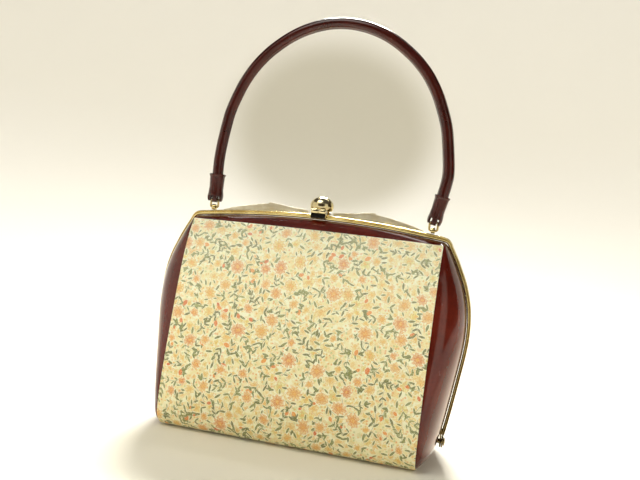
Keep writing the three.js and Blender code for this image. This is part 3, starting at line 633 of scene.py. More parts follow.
# ------------------------------------------------------------------ leather skin
S_COLS = np.concatenate([np.linspace(-2, -1, 41)[:-1], np.linspace(-1, 1, 21), np.linspace(1, 2, 41)[1:]])
M_ROWS = np.concatenate([np.linspace(-1, 0, 15)[:-1], np.linspace(0, 1, 81)[:-1], np.linspace(1, 2, 19)[:-1], np.linspace(2, 3, 9)])
GS, GM = np.meshgrid(S_COLS, M_ROWS)
outer, inner = skin(GS, GM, 0.0), skin(GS, GM, 1.5)
outer[-1, :, 1] = -0.15
inner[-1, :, 1] = -0.15


def both(name, A, B, mat, replaced, blend=True):
    out = []
    for side, sg in (("front", 1), ("rear", -1)):
        ob = thick(name.replace("SIDE", side), A if sg > 0 else flip_y(A), B if sg > 0 else flip_y(B))
        dress(ob, mat)
        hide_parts(*[n.replace("SIDE", side) for n in replaced])
        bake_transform(ob)
        out.append(ob)
    return out


both("leather_SIDE", outer, inner, M_PATENT, ["SIDE_shell", "lower_tub"])

# ------------------------------------------------------------------ printed cloth
CLOTH_OFF = -0.95
fine_m = np.concatenate([np.linspace(-0.12, 0, 9)[:-1], np.linspace(0, 1, 200)[:-1], np.linspace(1, 2, 40)[:-1], np.linspace(2, 3, 40)])
line = skin(np.full_like(fine_m, 0.6), fine_m, CLOTH_OFF)
arc = np.concatenate([[0], np.cumsum(np.linalg.norm(np.diff(line, axis=0), axis=1))])
CLOTH_LEN = arc[-1]
NU = 265
NT = int(round(CLOTH_LEN / 0.81)) + 1
while (NT - 1) % 3:
    NT += 1
t_rows = np.linspace(0, CLOTH_LEN, NT)
m_rows = np.interp(t_rows, arc, fine_m)
s_cols = np.linspace(-1, 1, NU)
DU, DT = 2 * CLOTH_HALF / (NU - 1), CLOTH_LEN / (NT - 1)
NT2 = 2 * NT - 1          # front strip, then the rear strip the other way up
UU = np.linspace(-CLOTH_HALF, CLOTH_HALF, NU)
WW = np.arange(NT2) * DT

rng = np.random.RandomState(41)


def field():
    f = np.zeros((NT2, NU, 4), np.float32)
    f[..., 2] = 9.0
    return f


def window(cx, cw, rad):
    i0, i1 = max(0, int((cw - rad) / DT)), min(NT2, int((cw + rad) / DT) + 2)
    j0, j1 = max(0, int((cx - rad + CLOTH_HALF) / DU)), min(NU, int((cx + rad + CLOTH_HALF) / DU) + 2)
    if i0 >= i1 or j0 >= j1:
        return None
    gw, gu = np.meshgrid(WW[i0:i1], UU[j0:j1], indexing="ij")
    return slice(i0, i1), slice(j0, j1), gu, gw


def scatter(n, rmin, others=(), tries=60):
    """Dart throwing over the whole strip; others is [(points, clearance)]."""
    pts = []
    W = WW[-1]
    for _ in range(n * tries):
        if len(pts) >= n:
            break
        p = np.array([rng.uniform(-CLOTH_HALF - 2, CLOTH_HALF + 2), rng.uniform(-2, W + 2)])
        if pts and np.min(np.hypot(*(np.array(pts) - p).T)) < rmin:
            continue
        if any(len(q) and np.min(np.hypot(*(np.asarray(q) - p).T)) < c for q, c in others):
            continue
        pts.append(p)
    return np.array(pts)


deep, pale, leaf, stem = field(), field(), field(), field()
area = 2 * CLOTH_HALF * WW[-1]
P_deep = scatter(int(area / 430), 11.0)
P_mid = scatter(int(area / 330), 8.6, [(P_deep, 8.8)])
P_small = scatter(int(area / 150), 5.6, [(P_deep, 7.4), (P_mid, 6.2)])


def stamp_bloom(F, pts, rlo, rhi):
    rad = []
    for p in pts:
        R = rng.uniform(rlo, rhi)
        rad.append(R)
        a, tone, sq = rng.uniform(0, 2 * math.pi), rng.uniform(0, 1), rng.uniform(0.78, 1.0)
        win = window(p[0], p[1], R + 2.5)
        if win is None:
            continue
        I, J, gu, gw = win
        wu = gu + 0.42 * np.sin(gw * 1.7 + 1.6 * np.sin(gu * 0.8)) + 0.30 * np.sin(gw * 0.9 + gu * 2.3)
        ww = gw + 0.42 * np.sin(gu * 1.9 + 1.4 * np.sin(gw * 0.7)) + 0.30 * np.sin(gu * 1.1 - gw * 2.1)
        dx, dy = wu - p[0], ww - p[1]
        X, Y = (dx * math.cos(a) + dy * math.sin(a)) / R, (-dx * math.sin(a) + dy * math.cos(a)) / (R * sq)
        sdf = (np.hypot(X, Y) - 1) * R
        cur = F[I, J]
        hit = sdf < cur[..., 2]
        for k, v in enumerate((X, Y, sdf, np.full_like(X, tone))):
            cur[..., k] = np.where(hit, v, cur[..., k])
        F[I, J] = cur
    return np.array(rad)


R_deep = stamp_bloom(deep, P_deep, 3.0, 6.6)
R_mid = stamp_bloom(pale, P_mid, 3.6, 6.0)
R_small = stamp_bloom(pale, P_small, 1.9, 3.2)
leaves = []          # base point, direction, length, tone
leaf_mid = []


def try_leaf(bx, bw, ang, L, tone, gap=1.9):
    ca, sa = math.cos(ang), math.sin(ang)
    pts = np.array([[bx + f * L * ca, bw + f * L * sa] for f in (0.2, 0.55, 0.95)])
    if leaf_mid:
        q = np.array(leaf_mid[-2400:])
        for p in pts[1:]:
            if np.min(np.hypot(*(q - p).T)) < gap:
                return
    for p in pts:
        if (np.hypot(*(P_deep - p).T) - R_deep * 0.9).min() < 0:
            return
    leaf_mid.extend(pts.tolist())
    leaves.append((bx, bw, ang, L, tone))


def leaf_tone():
    q = rng.uniform()
    return rng.uniform(0.02, 0.30) if q < 0.50 else rng.uniform(0.36, 0.76)


def stamp_stem(Q, tone):
    Q = np.asarray(Q)
    c, rad = Q.mean(0), np.max(np.hypot(*(Q - Q.mean(0)).T)) + 1.8
    win = window(c[0], c[1], rad)
    if win is None:
        return
    I, J, gu, gw = win
    best = np.full(gu.shape, 1e9)
    lat = np.zeros(gu.shape)
    for a, b in zip(Q[:-1], Q[1:]):
        e = b - a
        L2 = max(e @ e, 1e-9)
        t = np.clip(((gu - a[0]) * e[0] + (gw - a[1]) * e[1]) / L2, 0, 1)
        qx, qy = gu - (a[0] + t * e[0]), gw - (a[1] + t * e[1])
        dist = np.hypot(qx, qy)
        side = (e[0] * (gw - a[1]) - e[1] * (gu - a[0])) / math.sqrt(L2)
        hit = dist < best
        best = np.where(hit, dist, best)
        lat = np.where(hit, np.where(np.abs(side) < dist * 0.7, dist * np.sign(side + 1e-9), side), lat)
    sdf = best - 0.3
    cur = stem[I, J]
    hit = sdf < cur[..., 2] - (cur[..., 2] > 8) * 0
    # stem_v is (lateral, distance, tone): keep the distance in channel 2 while painting
    for k, v in ((0, lat), (1, sdf), (2, sdf), (3, np.full_like(lat, tone))):
        cur[..., k] = np.where(hit, v, cur[..., k])
    stem[I, J] = cur


n_stem = int(area / 215)
P_stem = scatter(n_stem, 8.2, [(P_deep, 3.5)])
for p in P_stem:
    a0 = rng.uniform(0, 2 * math.pi)
    L = rng.uniform(8.5, 18)
    bend = rng.uniform(-0.9, 0.9)
    Q, q, a = [], p - 0.5 * L * np.array([math.cos(a0), math.sin(a0)]), a0
    n = max(6, int(L / 1.6))
    for k in range(n + 1):
        Q.append(q.copy())
        a += bend / n
        q = q + np.array([math.cos(a), math.sin(a)]) * L / n
    tone = rng.uniform(0, 1)
    stamp_stem(Q, tone)
    base_tone = leaf_tone()
    step = rng.uniform(3.1, 4.4)
    along, side = rng.uniform(1.0, 2.5), 1
    while along < L - 0.5:
        f = along / L * n
        i = min(int(f), n - 1)
        pt = Q[i] + (Q[i + 1] - Q[i]) * (f - i)
        dr = math.atan2(*(Q[i + 1] - Q[i])[::-1])
        size = rng.uniform(3.6, 5.8) * (1 - 0.22 * along / L)
        ln = np.array([math.cos(dr + side * 0.75), math.sin(dr + side * 0.75)])
        try_leaf(pt[0] + ln[0] * 0.25, pt[1] + ln[1] * 0.25, dr + side * rng.uniform(0.6, 0.95), size, np.clip(base_tone + rng.uniform(-0.06, 0.06), 0.02, 0.77), 1.9)
        if rng.uniform() < 0.5:
            try_leaf(pt[0], pt[1], dr - side * rng.uniform(0.6, 0.95), size, np.clip(base_tone + rng.uniform(-0.06, 0.06), 0.02, 0.77), 1.9)
        side = -side
        along += step
    dr = math.atan2(*(Q[-1] - Q[-2])[::-1])
    if rng.uniform() < 0.28:
        try_leaf(Q[-1][0], Q[-1][1], dr, rng.uniform(3.4, 5.0), rng.uniform(0.81, 1.0), 1.8)
    else:
        try_leaf(Q[-1][0], Q[-1][1], dr, rng.uniform(4.0, 6.0), base_tone, 1.7)
# leaves round the blooms
for P, R, k in ((P_deep, R_deep, 4), (P_mid, R_mid, 2)):
    for p, rr in zip(P, R):
        for _ in range(k):
            a = rng.uniform(0, 2 * math.pi)
            try_leaf(p[0] + rr * 0.88 * math.cos(a), p[1] + rr * 0.88 * math.sin(a), a + rng.uniform(-0.7, 0.7), rng.uniform(3.8, 6.4), leaf_tone(), 2.1)
for p in scatter(int(area / 60), 2.6):
    tone = rng.uniform(0.82, 1.0) if rng.uniform() < 0.12 else leaf_tone()
    try_leaf(p[0], p[1], rng.uniform(0, 2 * math.pi), rng.uniform(3.2, 5.8), tone, 2.5)

for bx, bw, ang, L, tone in leaves:
    cx, cw = bx + 0.5 * L * math.cos(ang), bw + 0.5 * L * math.sin(ang)
    win = window(cx, cw, 0.5 * L + 1.8)
    if win is None:
        continue
    I, J, gu, gw = win
    dx, dy = gu - bx, gw - bw
    A = (dx * math.cos(ang) + dy * math.sin(ang)) / L
    Bq = (-dx * math.sin(ang) + dy * math.cos(ang)) / L
    wmax = 0.150 if tone < 0.8 else 0.32
    wd = wmax * np.clip(4 * A * (1 - A), 0, 1) ** 0.72
    sdf = np.where(np.abs(A - 0.5) < 0.5, (np.abs(Bq) - wd) * L, np.hypot(Bq, np.maximum(-A, A - 1)) * L)
    cur = leaf[I, J]
    hit = sdf < cur[..., 2]
    for k, v in enumerate((A, Bq, sdf, np.full_like(A, tone))):
        cur[..., k] = np.where(hit, v, cur[..., k])
    leaf[I, J] = cur
stem_v = np.stack([stem[..., 0], np.minimum(stem[..., 2], 9.0), stem[..., 3], np.ones_like(stem[..., 0])], -1)


def cloth_piece(side, sg):
    S, Mm = np.meshgrid(s_cols, m_rows)
    top = skin(S, Mm, CLOTH_OFF)
    # a slow waviness of the glued cloth, fading at its edges
    fade = np.clip((1 - np.abs(S)) / 0.05, 0, 1) * np.clip(t_rows / 6, 0, 1)[:, None]
    k = 1 if sg > 0 else 2
    ph = 0.9 * k
    wav = (np.sin(UU[None, :] * 0.061 + ph + 0.9 * np.sin(t_rows[:, None] * 0.031)) * np.sin(t_rows[:, None] * 0.047 + ph)) * 0.14
    wav = wav * fade * (Mm < 1.0)
    top[..., 1] -= wav - 0.02
    # soft rolled edge
    roll_u = np.clip((np.abs(UU) - (CLOTH_HALF - 0.9)) / 0.9, 0, 1)[None, :]
    roll_t = np.clip((0.9 - t_rows) / 0.9, 0, 1)[:, None]
    e = np.maximum(roll_u, roll_t)
    low = skin(S, Mm, -0.30)
    top = top + (low - top) * (e * e * 0.75)[..., None]
    cs, rs = np.arange(0, NU, 3), np.arange(0, NT, 3)
    S2, M2 = np.meshgrid(s_cols[cs], m_rows[rs])
    under = skin(S2, M2, -0.06)
    top[-1, :, 1] = -0.1
    under[-1, :, 1] = -0.1
    V = np.concatenate([top.reshape(-1, 3), under.reshape(-1, 3)])
    n = NT * NU
    C2, R2 = len(cs), len(rs)
    faces = grid_faces(NT, NU) + grid_faces(R2, C2, n, True)
    for c in range(C2 - 1):
        for row, row2 in ((0, 0), (NT - 1, R2 - 1)):
            a = [row * NU + 3 * c + q for q in range(4)]
            b = [n + row2 * C2 + c + 1, n + row2 * C2 + c]
            faces.append(tuple(a + b))
    for rr in range(R2 - 1):
        for colf, colc in ((0, 0), (NU - 1, C2 - 1)):
            a = [(3 * rr + q) * NU + colf for q in range(4)]
            b = [n + (rr + 1) * C2 + colc, n + rr * C2 + colc]
            faces.append(tuple(a + b))
    if sg < 0:
        V[:, 1] *= -1
    ob = make(side + "_cloth", V, faces, 50)
    me = ob.data
    rows = np.arange(NT) if sg > 0 else (NT2 - 1 - np.arange(NT))
    flipu = sg < 0
    for name, F in (("leaf_v", leaf), ("stem_v", stem_v), ("pale_v", pale), ("deep_v", deep)):
        G = F[rows].astype(np.float32)
        full = np.concatenate([G.reshape(-1, 4), G[rs][:, cs].reshape(-1, 4)])
        at = me.attributes.new(name, "FLOAT_COLOR", "POINT")
        at.data.foreach_set("color", full.reshape(-1))
    W = WW[rows]
    P = np.zeros((NT, NU, 3), np.float32)
    P[..., 0], P[..., 1] = UU[None, :], W[:, None]
    full = np.concatenate([P.reshape(-1, 3), P[rs][:, cs].reshape(-1, 3)])
    at = me.attributes.new("pat_v", "FLOAT_VECTOR", "POINT")
    at.data.foreach_set("vector", full.reshape(-1))
    dress(ob, M_CLOTH)
    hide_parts(side + "_panel", "bottom_panel")
    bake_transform(ob)
    return ob


cloth_piece("front", 1)
cloth_piece("rear", -1)

# ------------------------------------------------------------------ linings, pocket, gussets
L_M = np.concatenate([np.linspace(0.02, 1, 60)[:-1], np.linspace(1, 2, 12)[:-1], np.linspace(2, 3, 6)])


def lining_grid(o):
    rows = []
    for mm in L_M:
        z = float(skin(0.0, mm, o)[2])
        D = float(-skin(1.0, mm, o)[1])
        s_end = 1.0 + math.acos(min(1.0, max(0.0, (4.9 - 1.2) / max(D - 1.2, 4.0)))) / (math.pi / 2)
        s_end = 2.0 if z < 24 else 1.0 + (s_end - 1.0) + (1 - smooth((z - 24) / 8)) * (2.0 - s_end)
        s = np.concatenate([np.linspace(-s_end, -1, 16)[:-1], np.linspace(-1, 1, 25), np.linspace(1, s_end, 16)[1:]])
        rows.append(skin(s, np.full_like(s, mm), o))
    g = np.array(rows)
    g[-1, :, 1] = -0.15
    return g


LA, LBg = lining_grid(3.4), lining_grid(4.0)
# soft puckers in the loose lining
puck = 0.35 * np.sin(np.linspace(0, 34, LBg.shape[1]))[None, :] * np.sin(np.linspace(0, 3.1, LBg.shape[0]))[:, None]
LBg[:60, :, 1] += puck[:60] * 0.8 + 0.3
for side, sg in (("front", 1), ("rear", -1)):
    ob = thick(side + "_lining_cloth", LA if sg > 0 else flip_y(LA), LBg if sg > 0 else flip_y(LBg))
    dress(ob, M_LINING)
    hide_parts(side + "_lining", "bottom_lining")
    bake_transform(ob)

for side, sg in (("front", -1), ("rear", 1)):
    for hand, sx in (("right", 1), ("left", -1)):
        zs = np.linspace(27, 168, 48)
        ks = np.linspace(0, 1, 14)
        G = {}
        for th in (0.0, 0.7):
            rows = []
            for z in zs:
                D = float(lut(D_TAB, z)) - 3.7
                b = float(lut(SKIN_B, z)) - 3.7
                p = min(CLOTH_HALF, b - 1)
                t = math.acos(min(1.0, (4.75 - 1.2) / (D - 1.2)))
                xe = p + (b - p) * math.sin(t) - 0.5
                L = 2 + 0.19 * (z - 16)
                xf = float(lut(B_TAB, z)) - 7.6 - L
                row = []
                for k in ks:
                    x = xe + (xf - xe) * k
                    y = 4.75 * (1 - k) + 0.45 * k + 0.5 * math.sin(math.pi * k) * math.sin(z * 0.11)
                    row.append((sx * (x - th * 0.3), sg * (y - th * (1 - 0.55 * k)), z))
                rows.append(row)
            G[th] = rows
        ob = thick("gusset_%s_%s" % (hand, side), G[0.0], G[0.7])
        dress(ob, M_LINING)
        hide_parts("gusset_" + hand)
        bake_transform(ob)

pk = Soup()
zz, ss = np.linspace(60, 140, 40), np.linspace(-0.52, 0.52, 40)
pts = lambda o: flip_y(np.array([skin(ss, np.full_like(ss, (173 - z) / 157), o) for z in zz]))
A, B = pts(4.5), pts(5.15)
sag = 0.5 * smooth((zz - 80) / 60)[:, None] * np.cos(ss * math.pi / 1.04)[None, :]
for G in (A, B):
    G[..., 1] -= sag
ob = thick("pocket_patch", A, B)
dress(ob, M_LINING)
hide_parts("inner_pocket")
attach(ob, "rear_half")
hemA, hemB = pts(5.2)[-4:], pts(5.75)[-4:]
for G in (hemA, hemB):
    G[..., 1] -= sag[-4:]
ob = thick("pocket_hem", hemA, hemB)
dress(ob, M_LINING)
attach(ob, "rear_half")

# ------------------------------------------------------------------ frames
FP = [[float(lut(B_TAB, z)), z, 1.5, 4.2] for z in (22.5, 30, 43, 57, 72, 85, 97, 108, 118, 127, 135, 144, 152.5, 160, 166, 172)]
FP += [[111.2, 175.2, 1.6, 4.4], [109.2, 177.3, 1.8, 4.7], [106.2, float(bar_z(106.2)), 2.0, 5.0]]
FP += [[x, float(bar_z(x)), 2.1, 5.0] for x in (96, 80, 62, 44, 26, 9)]
FP = FP + [[-x, z, h, y] for x, z, h, y in FP[::-1]]
fine = catmull(FP, 9)
fine, _t = resample(fine, 520)
PROF = [(-0.93, 0.0), (-1.0, 0.03), (-1.0, 0.52), (-0.97, 0.70), (-0.86, 0.86), (-0.68, 0.95), (-0.45, 0.985), (-0.2, 1.0), (0.0, 0.99), (0.13, 0.96),
        (0.20, 0.88), (0.30, 0.83), (0.40, 0.88), (0.50, 0.95), (0.68, 0.965), (0.84, 0.90), (0.95, 0.78), (1.0, 0.60), (1.0, 0.03), (0.93, 0.0)]


def frame_piece(side, sg):
    so = Soup()
    tan = np.gradient(fine[:, :2], axis=0)
    tan /= np.linalg.norm(tan, axis=1)[:, None]
    nx, nz = tan[:, 1], -tan[:, 0]
    rings = []
    for i, (x, z, h, y1) in enumerate(fine):
        rings.append([(x + nx[i] * a * h, sg * (0.4 + (y1 - 0.4) * b), z + nz[i] * a * h) for a, b in PROF])
    so.loft(rings)
    # flat eye at each foot, on the hinge rivet
    x0, x1 = (120.2, 121.4) if side == "front" else (121.8, 123.0)
    for hand in (1, -1):
        out = []
        for k in range(33):
            a = math.radians(150 + 240 * k / 32)
            out.append((5 * math.cos(a), 16 + 5 * math.sin(a)))
        out += [(4.0, 20.5), (3.9, 27.0), (0.7, 27.0), (0.5, 21.6), (-1.5, 20.8)]
        out = np.array(out)
        c = np.array([0.0, 16.5])
        rr = []
        for x, k in ((x0, 0.955), (x0 + 0.2, 1.0), (x1 - 0.2, 1.0), (x1, 0.955)):
            q = c + (out - c) * k
            rr.append([(hand * x, sg * p[0], p[1]) for p in q])
        so.loft(rr)
    ob = so.mesh(side + "_frame_bar", 45)
    dress(ob, M_GILT)
    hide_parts(side + "_frame")
    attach(ob, side + "_half")
    return ob


frame_piece("front", -1)
frame_piece("rear", 1)

# hinge rivets: shank, domed head, washer
for hand, sx in (("right", 1), ("left", -1)):
    so = Soup()
    prof = [(113.9, 0.0), (113.9, 2.8), (114.1, 3.1), (114.6, 3.1), (114.8, 2.9), (114.8, 1.9), (123.3, 1.9), (123.3, 3.2), (123.45, 3.4), (123.75, 3.4),
            (124.05, 3.15), (124.3, 2.6), (124.48, 1.8), (124.57, 1.0), (124.6, 0.3), (124.6, 0.0)]
    rings = [[(sx * x, r0 * math.cos(a), 16 + r0 * math.sin(a)) for a in np.linspace(0, 2 * math.pi, 36, endpoint=False)] for x, r0 in
             [(x, max(r0, 0.02)) for x, r0 in prof]]
    so.loft(rings)
    ob = so.mesh("hinge_stud_" + hand, 40)
    dress(ob, M_GILT)
    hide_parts("hinge_rivet_" + hand)
    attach(ob, "base")

# ------------------------------------------------------------------ crest ornament
ctab = np.array(CREST)


def crest_piece(hand, sx):
    so = Soup()
    n, k = 300, 22
    xs = np.linspace(11, 88, n)
    top = np.interp(xs, ctab[:, 0], ctab[:, 1])
    bot = bar_z(xs) - 1.4
    F, Bk = [], []
    for i, x in enumerate(xs):
        fr, bk = [], []
        for j in range(k):
            v = j / (k - 1)
            z = bot[i] + (top[i] - bot[i]) * v
            zr = z - (bar_z(x) + 2.3)                   # height above the bar
            hgt = max(top[i] - bar_z(x) - 2.3, 0.6)
            q = np.clip(zr / hgt, 0, 1)
            # running leaf scroll: curls along x, a spine and a raised rim
            ph = x * 0.46
            scroll = math.sin(ph + 2.6 * q) * math.sin(ph * 2.0 - 3.4 * q + 0.8)
            rel = 0.07 * scroll * math.sin(math.pi * min(q * 1.15, 1.0)) + 0.05 * math.cos(6.0 * (q - 0.45)) * (q > 0)
            rim = 0.30 * math.exp(-((1 - q) * hgt / 0.45) ** 2) * (zr > 0)
            fade = smooth(np.array(zr / 0.6))
            t = float(fade) * (rel + rim)
            edge = 0.32 * (1 - math.sqrt(max(0.0, 1 - max(0.0, (v - 0.88) / 0.12) ** 2)))
            fr.append((sx * x, 5.35 - t + edge, z))
            bk.append((sx * x, 6.35 + 0.25 * t - edge, z))
        F.append(fr)
        Bk.append(bk)
    A, B = np.array(F), np.array(Bk)
    R, Cc = A.shape[:2]
    nn = R * Cc
    faces = grid_faces(R, Cc) + grid_faces(R, Cc, nn, True)
    for c in range(Cc - 1):
        faces.append((c, nn + c, nn + c + 1, c + 1))
        kk = (R - 1) * Cc
        faces.append((kk + c, kk + c + 1, nn + kk + c + 1, nn + kk + c))
    for r_ in range(R - 1):
        faces.append((r_ * Cc, (r_ + 1) * Cc, nn + (r_ + 1) * Cc, nn + r_ * Cc))
        kk = Cc - 1
        faces.append((r_ * Cc + kk, nn + r_ * Cc + kk, nn + (r_ + 1) * Cc + kk, (r_ + 1) * Cc + kk))
    so.add(np.concatenate([A.reshape(-1, 3), B.reshape(-1, 3)]), faces)
    # beads along the top, larger on the raised run next to the middle
    x = 14.0
    while x < 86.5:
        z = float(np.interp(x, ctab[:, 0], ctab[:, 1]))
        big = 22 < x < 45
        rb = 0.78 if big else 0.42
        if x < 22 or x > 49:
            rb = 0.52
        zc = z - rb * 0.55
        rings = []
        for a in np.linspace(-0.5 * math.pi, 0.5 * math.pi, 7):
            rr, yy = max(rb * math.cos(a), 0.01), rb * 1.15 * math.sin(a)
            rings.append([(sx * (x + rr * math.cos(b)), 5.85 + yy * 1.05, zc + rr * math.sin(b)) for b in np.linspace(0, 2 * math.pi, 10, endpoint=False)])
        if not 45.2 < x < 48.5:
            so.loft(rings)
        x += rb * 2.25
    ob = so.mesh("crest_ornament_" + hand, 50)
    dress(ob, M_CREST)
    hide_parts("crest_" + hand)
    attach(ob, "rear_half")


crest_piece("right", 1)
crest_piece("left", -1)

# ------------------------------------------------------------------ clasp
def lathe(name, prof, cx, cy, n=72, angle=40):
    so = Soup()
    ang = np.linspace(0, 2 * math.pi, n, endpoint=False)
    so.loft([[(cx + max(r0, 0.01) * math.cos(a), cy + max(r0, 0.01) * math.sin(a), z) for a in ang] for r0, z in prof])
    return so.mesh(name, angle)


KNOB = (0.9, 3.0, 195.0)
so = Soup()
rings = []
neck = [(1.75, 189.9), (4.6, 189.85), (5.2, 190.0), (5.4, 190.35), (5.3, 190.7), (5.2, 190.95), (5.6, 191.1)]
for k, (r0, z0) in enumerate(neck):
    f = k / (len(neck) - 1)
    rings.append([(KNOB[0] * f + r0 * math.cos(a), BALL_Y + (KNOB[1] - BALL_Y) * f + r0 * math.sin(a), z0) for a in np.linspace(0, 2 * math.pi, 96, endpoint=False)])
for e in np.linspace(-28, 89.6, 52):
    ra = math.radians(e)
    rings.append([(KNOB[0] + 10.1 * math.cos(ra) * math.cos(a), KNOB[1] + 8.3 * math.cos(ra) * math.sin(a), KNOB[2] + 8.1 * math.sin(ra))
                  for a in np.linspace(0, 2 * math.pi, 96, endpoint=False)])
so.loft(rings)
ob = so.mesh("clasp_knob", 60)
dress(ob, M_BALL)
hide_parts("clasp_ball")
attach(ob, "clasp")

so = Soup()
out = []
for y, k in ((-5.35, 0.25), (-5.6, 0.0), (-8.5, 0.0), (-8.8, 0.12), (-8.95, 0.45)):
    x0, x1, z0, z1 = -5.1 + k, 7.9 - k, 184.4 + k, 192.4 - k
    q = []
    rc = 1.1
    for cx, cz, a0 in ((x1 - rc, z1 - rc, 0), (x0 + rc, z1 - rc, 90), (x0 + rc, z0 + rc, 180), (x1 - rc, z0 + rc, 270)):
        for kk in range(6):
            a = math.radians(a0 + 18 * kk)
            q.append((cx + rc * math.cos(a), y, cz + rc * math.sin(a)))
    out.append(q)
so.loft(out)
# bright rounded brow over the black front plate of painted dark reflection, split by a fine groove
for xa, xb in ((-5.0, 1.25), (1.45, 7.8)):
    rr = []
    for x, k in ((xa, 0.75), (xa + 0.35, 1.0), (xb - 0.35, 1.0), (xb, 0.75)):
        rr.append([(x, -8.7 - 0.95 * k * max(math.cos(a), -0.2), 190.35 + 1.8 * k * math.sin(a)) for a in np.linspace(0, 2 * math.pi, 28, endpoint=False)])
    so.loft(rr)
ob = so.mesh("catch_block", 45)
dress(ob, M_BALL)
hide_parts("clasp_catch")
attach(ob, "front_half")
# a black plate on the catch's lower front face: painted dark reflection
so = Soup()
so.box((-4.9, -9.35, 184.7), (7.7, -9.0, 188.35), 0.15)
ob = so.mesh("catch_painted_reflection_plate", 40)
ob.data.materials.clear()
ob.data.materials.append(M_CATCH_PAINTED_REFLECTION)
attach(ob, "front_half")

for node, name, body, mat, slot, w in (("clasp_lever", "clasp_lever_arm", "clasp", M_GILT, "gilt_metal", 0.18),
                                       ("clasp_bracket", "clasp_bracket_plate", "rear_half", M_GILT, "gilt_metal", 0.2),
                                       ("clasp_pin", "clasp_pin_rod", "rear_half", M_STEEL, "pin_steel", 0.15),
                                       ("clasp_spring", "clasp_leaf_spring", "rear_half", M_STEEL, "pin_steel", 0.12),
                                       ("lug_right", "ring_lug_right", "rear_half", M_GILT, "gilt_metal", 0.3),
                                       ("lug_left", "ring_lug_left", "rear_half", M_GILT, "gilt_metal", 0.3)):
    ob = bevel_copy(node, name, w, 3)
    dress(ob, mat)
    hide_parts(node)
    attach(ob, body)

# ------------------------------------------------------------------ rings
for hand, sx in (("right", 1), ("left", -1)):
    so = Soup()
    r0, w0, h0 = 1.6, RING_W, RING_H
    path = []
    for cx, cz, a0 in ((w0 - r0, h0 - r0, 0), (-w0 + r0, h0 - r0, 90), (-w0 + r0, r0, 180), (w0 - r0, r0, 270)):
        for k in range(9):
            a = math.radians(a0 + k * 11.25)
            path.append((cx + r0 * math.cos(a), cz + r0 * math.sin(a), a))
    rings = [[(sx * LUG_X + x + WIRE_R * math.cos(q) * math.cos(a), RING_Y + WIRE_R * math.sin(q), LUG_Z + z + WIRE_R * math.cos(q) * math.sin(a))
              for q in np.linspace(0, 2 * math.pi, 18, endpoint=False)] for x, z, a in path]
    so.torus_loft(rings)
    ob = so.mesh("wire_ring_" + hand, 60)
    dress(ob, M_GILT)
    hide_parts("ring_" + hand)
    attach(ob, "ring_" + hand)

# ------------------------------------------------------------------ handle
hp = np.array(H_TAB + [[-x, z] for x, z in H_TAB[:-1][::-1]])
hp[:, 0] += HANDLE_REST * np.clip((hp[:, 1] - LUG_Z - RING_H) / 40, 0, 1) ** 0.8
hp = catmull(hp, 8)
hp, ht = resample(hp, 300)
htan = np.gradient(hp, axis=0)
htan /= np.linalg.norm(htan, axis=1)[:, None]
hn = np.stack([htan[:, 1], -htan[:, 0]], -1)          # outwards
NQ = 44
qs = np.linspace(0, 2 * math.pi, NQ, endpoint=False)


def tube_radius(q, i):
    """Rolled leather tube: slightly oval, with a stitched welt on the inner side."""
    dq = abs((q - math.pi + math.pi) % (2 * math.pi) - math.pi)
    welt = 0.42 * math.exp(-(dq / 0.16) ** 2) - 0.16 * math.exp(-((dq - 0.36) / 0.10) ** 2)
    stitch = 0.05 * math.sin(ht[i] * 2 * math.pi / 3.2) * math.exp(-((dq - 0.2) / 0.1) ** 2)
    return 4.68 + 0.05 * math.cos(2 * q) + welt * 0.8 + stitch + 0.03 * math.sin(ht[i] * 0.13 + q)


so = Soup()
rings_o, rings_i = [], []
for i in range(len(hp)):
    rings_o.append([(hp[i, 0] + hn[i, 0] * tube_radius(q, i) * math.cos(q), RING_Y + tube_radius(q, i) * math.sin(q), hp[i, 1] + hn[i, 1] * tube_radius(q, i) * math.cos(q)) for q in qs])
    rings_i.append([(hp[i, 0] + hn[i, 0] * 3.3 * math.cos(q), RING_Y + 3.3 * math.sin(q), hp[i, 1] + hn[i, 1] * 3.3 * math.cos(q)) for q in qs])
so.loft(rings_o + rings_i[::-1], closed=True)
ob = so.mesh("handle_tube", 60)
dress(ob, M_PATENT2)
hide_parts("handle_cover")
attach(ob, "handle")

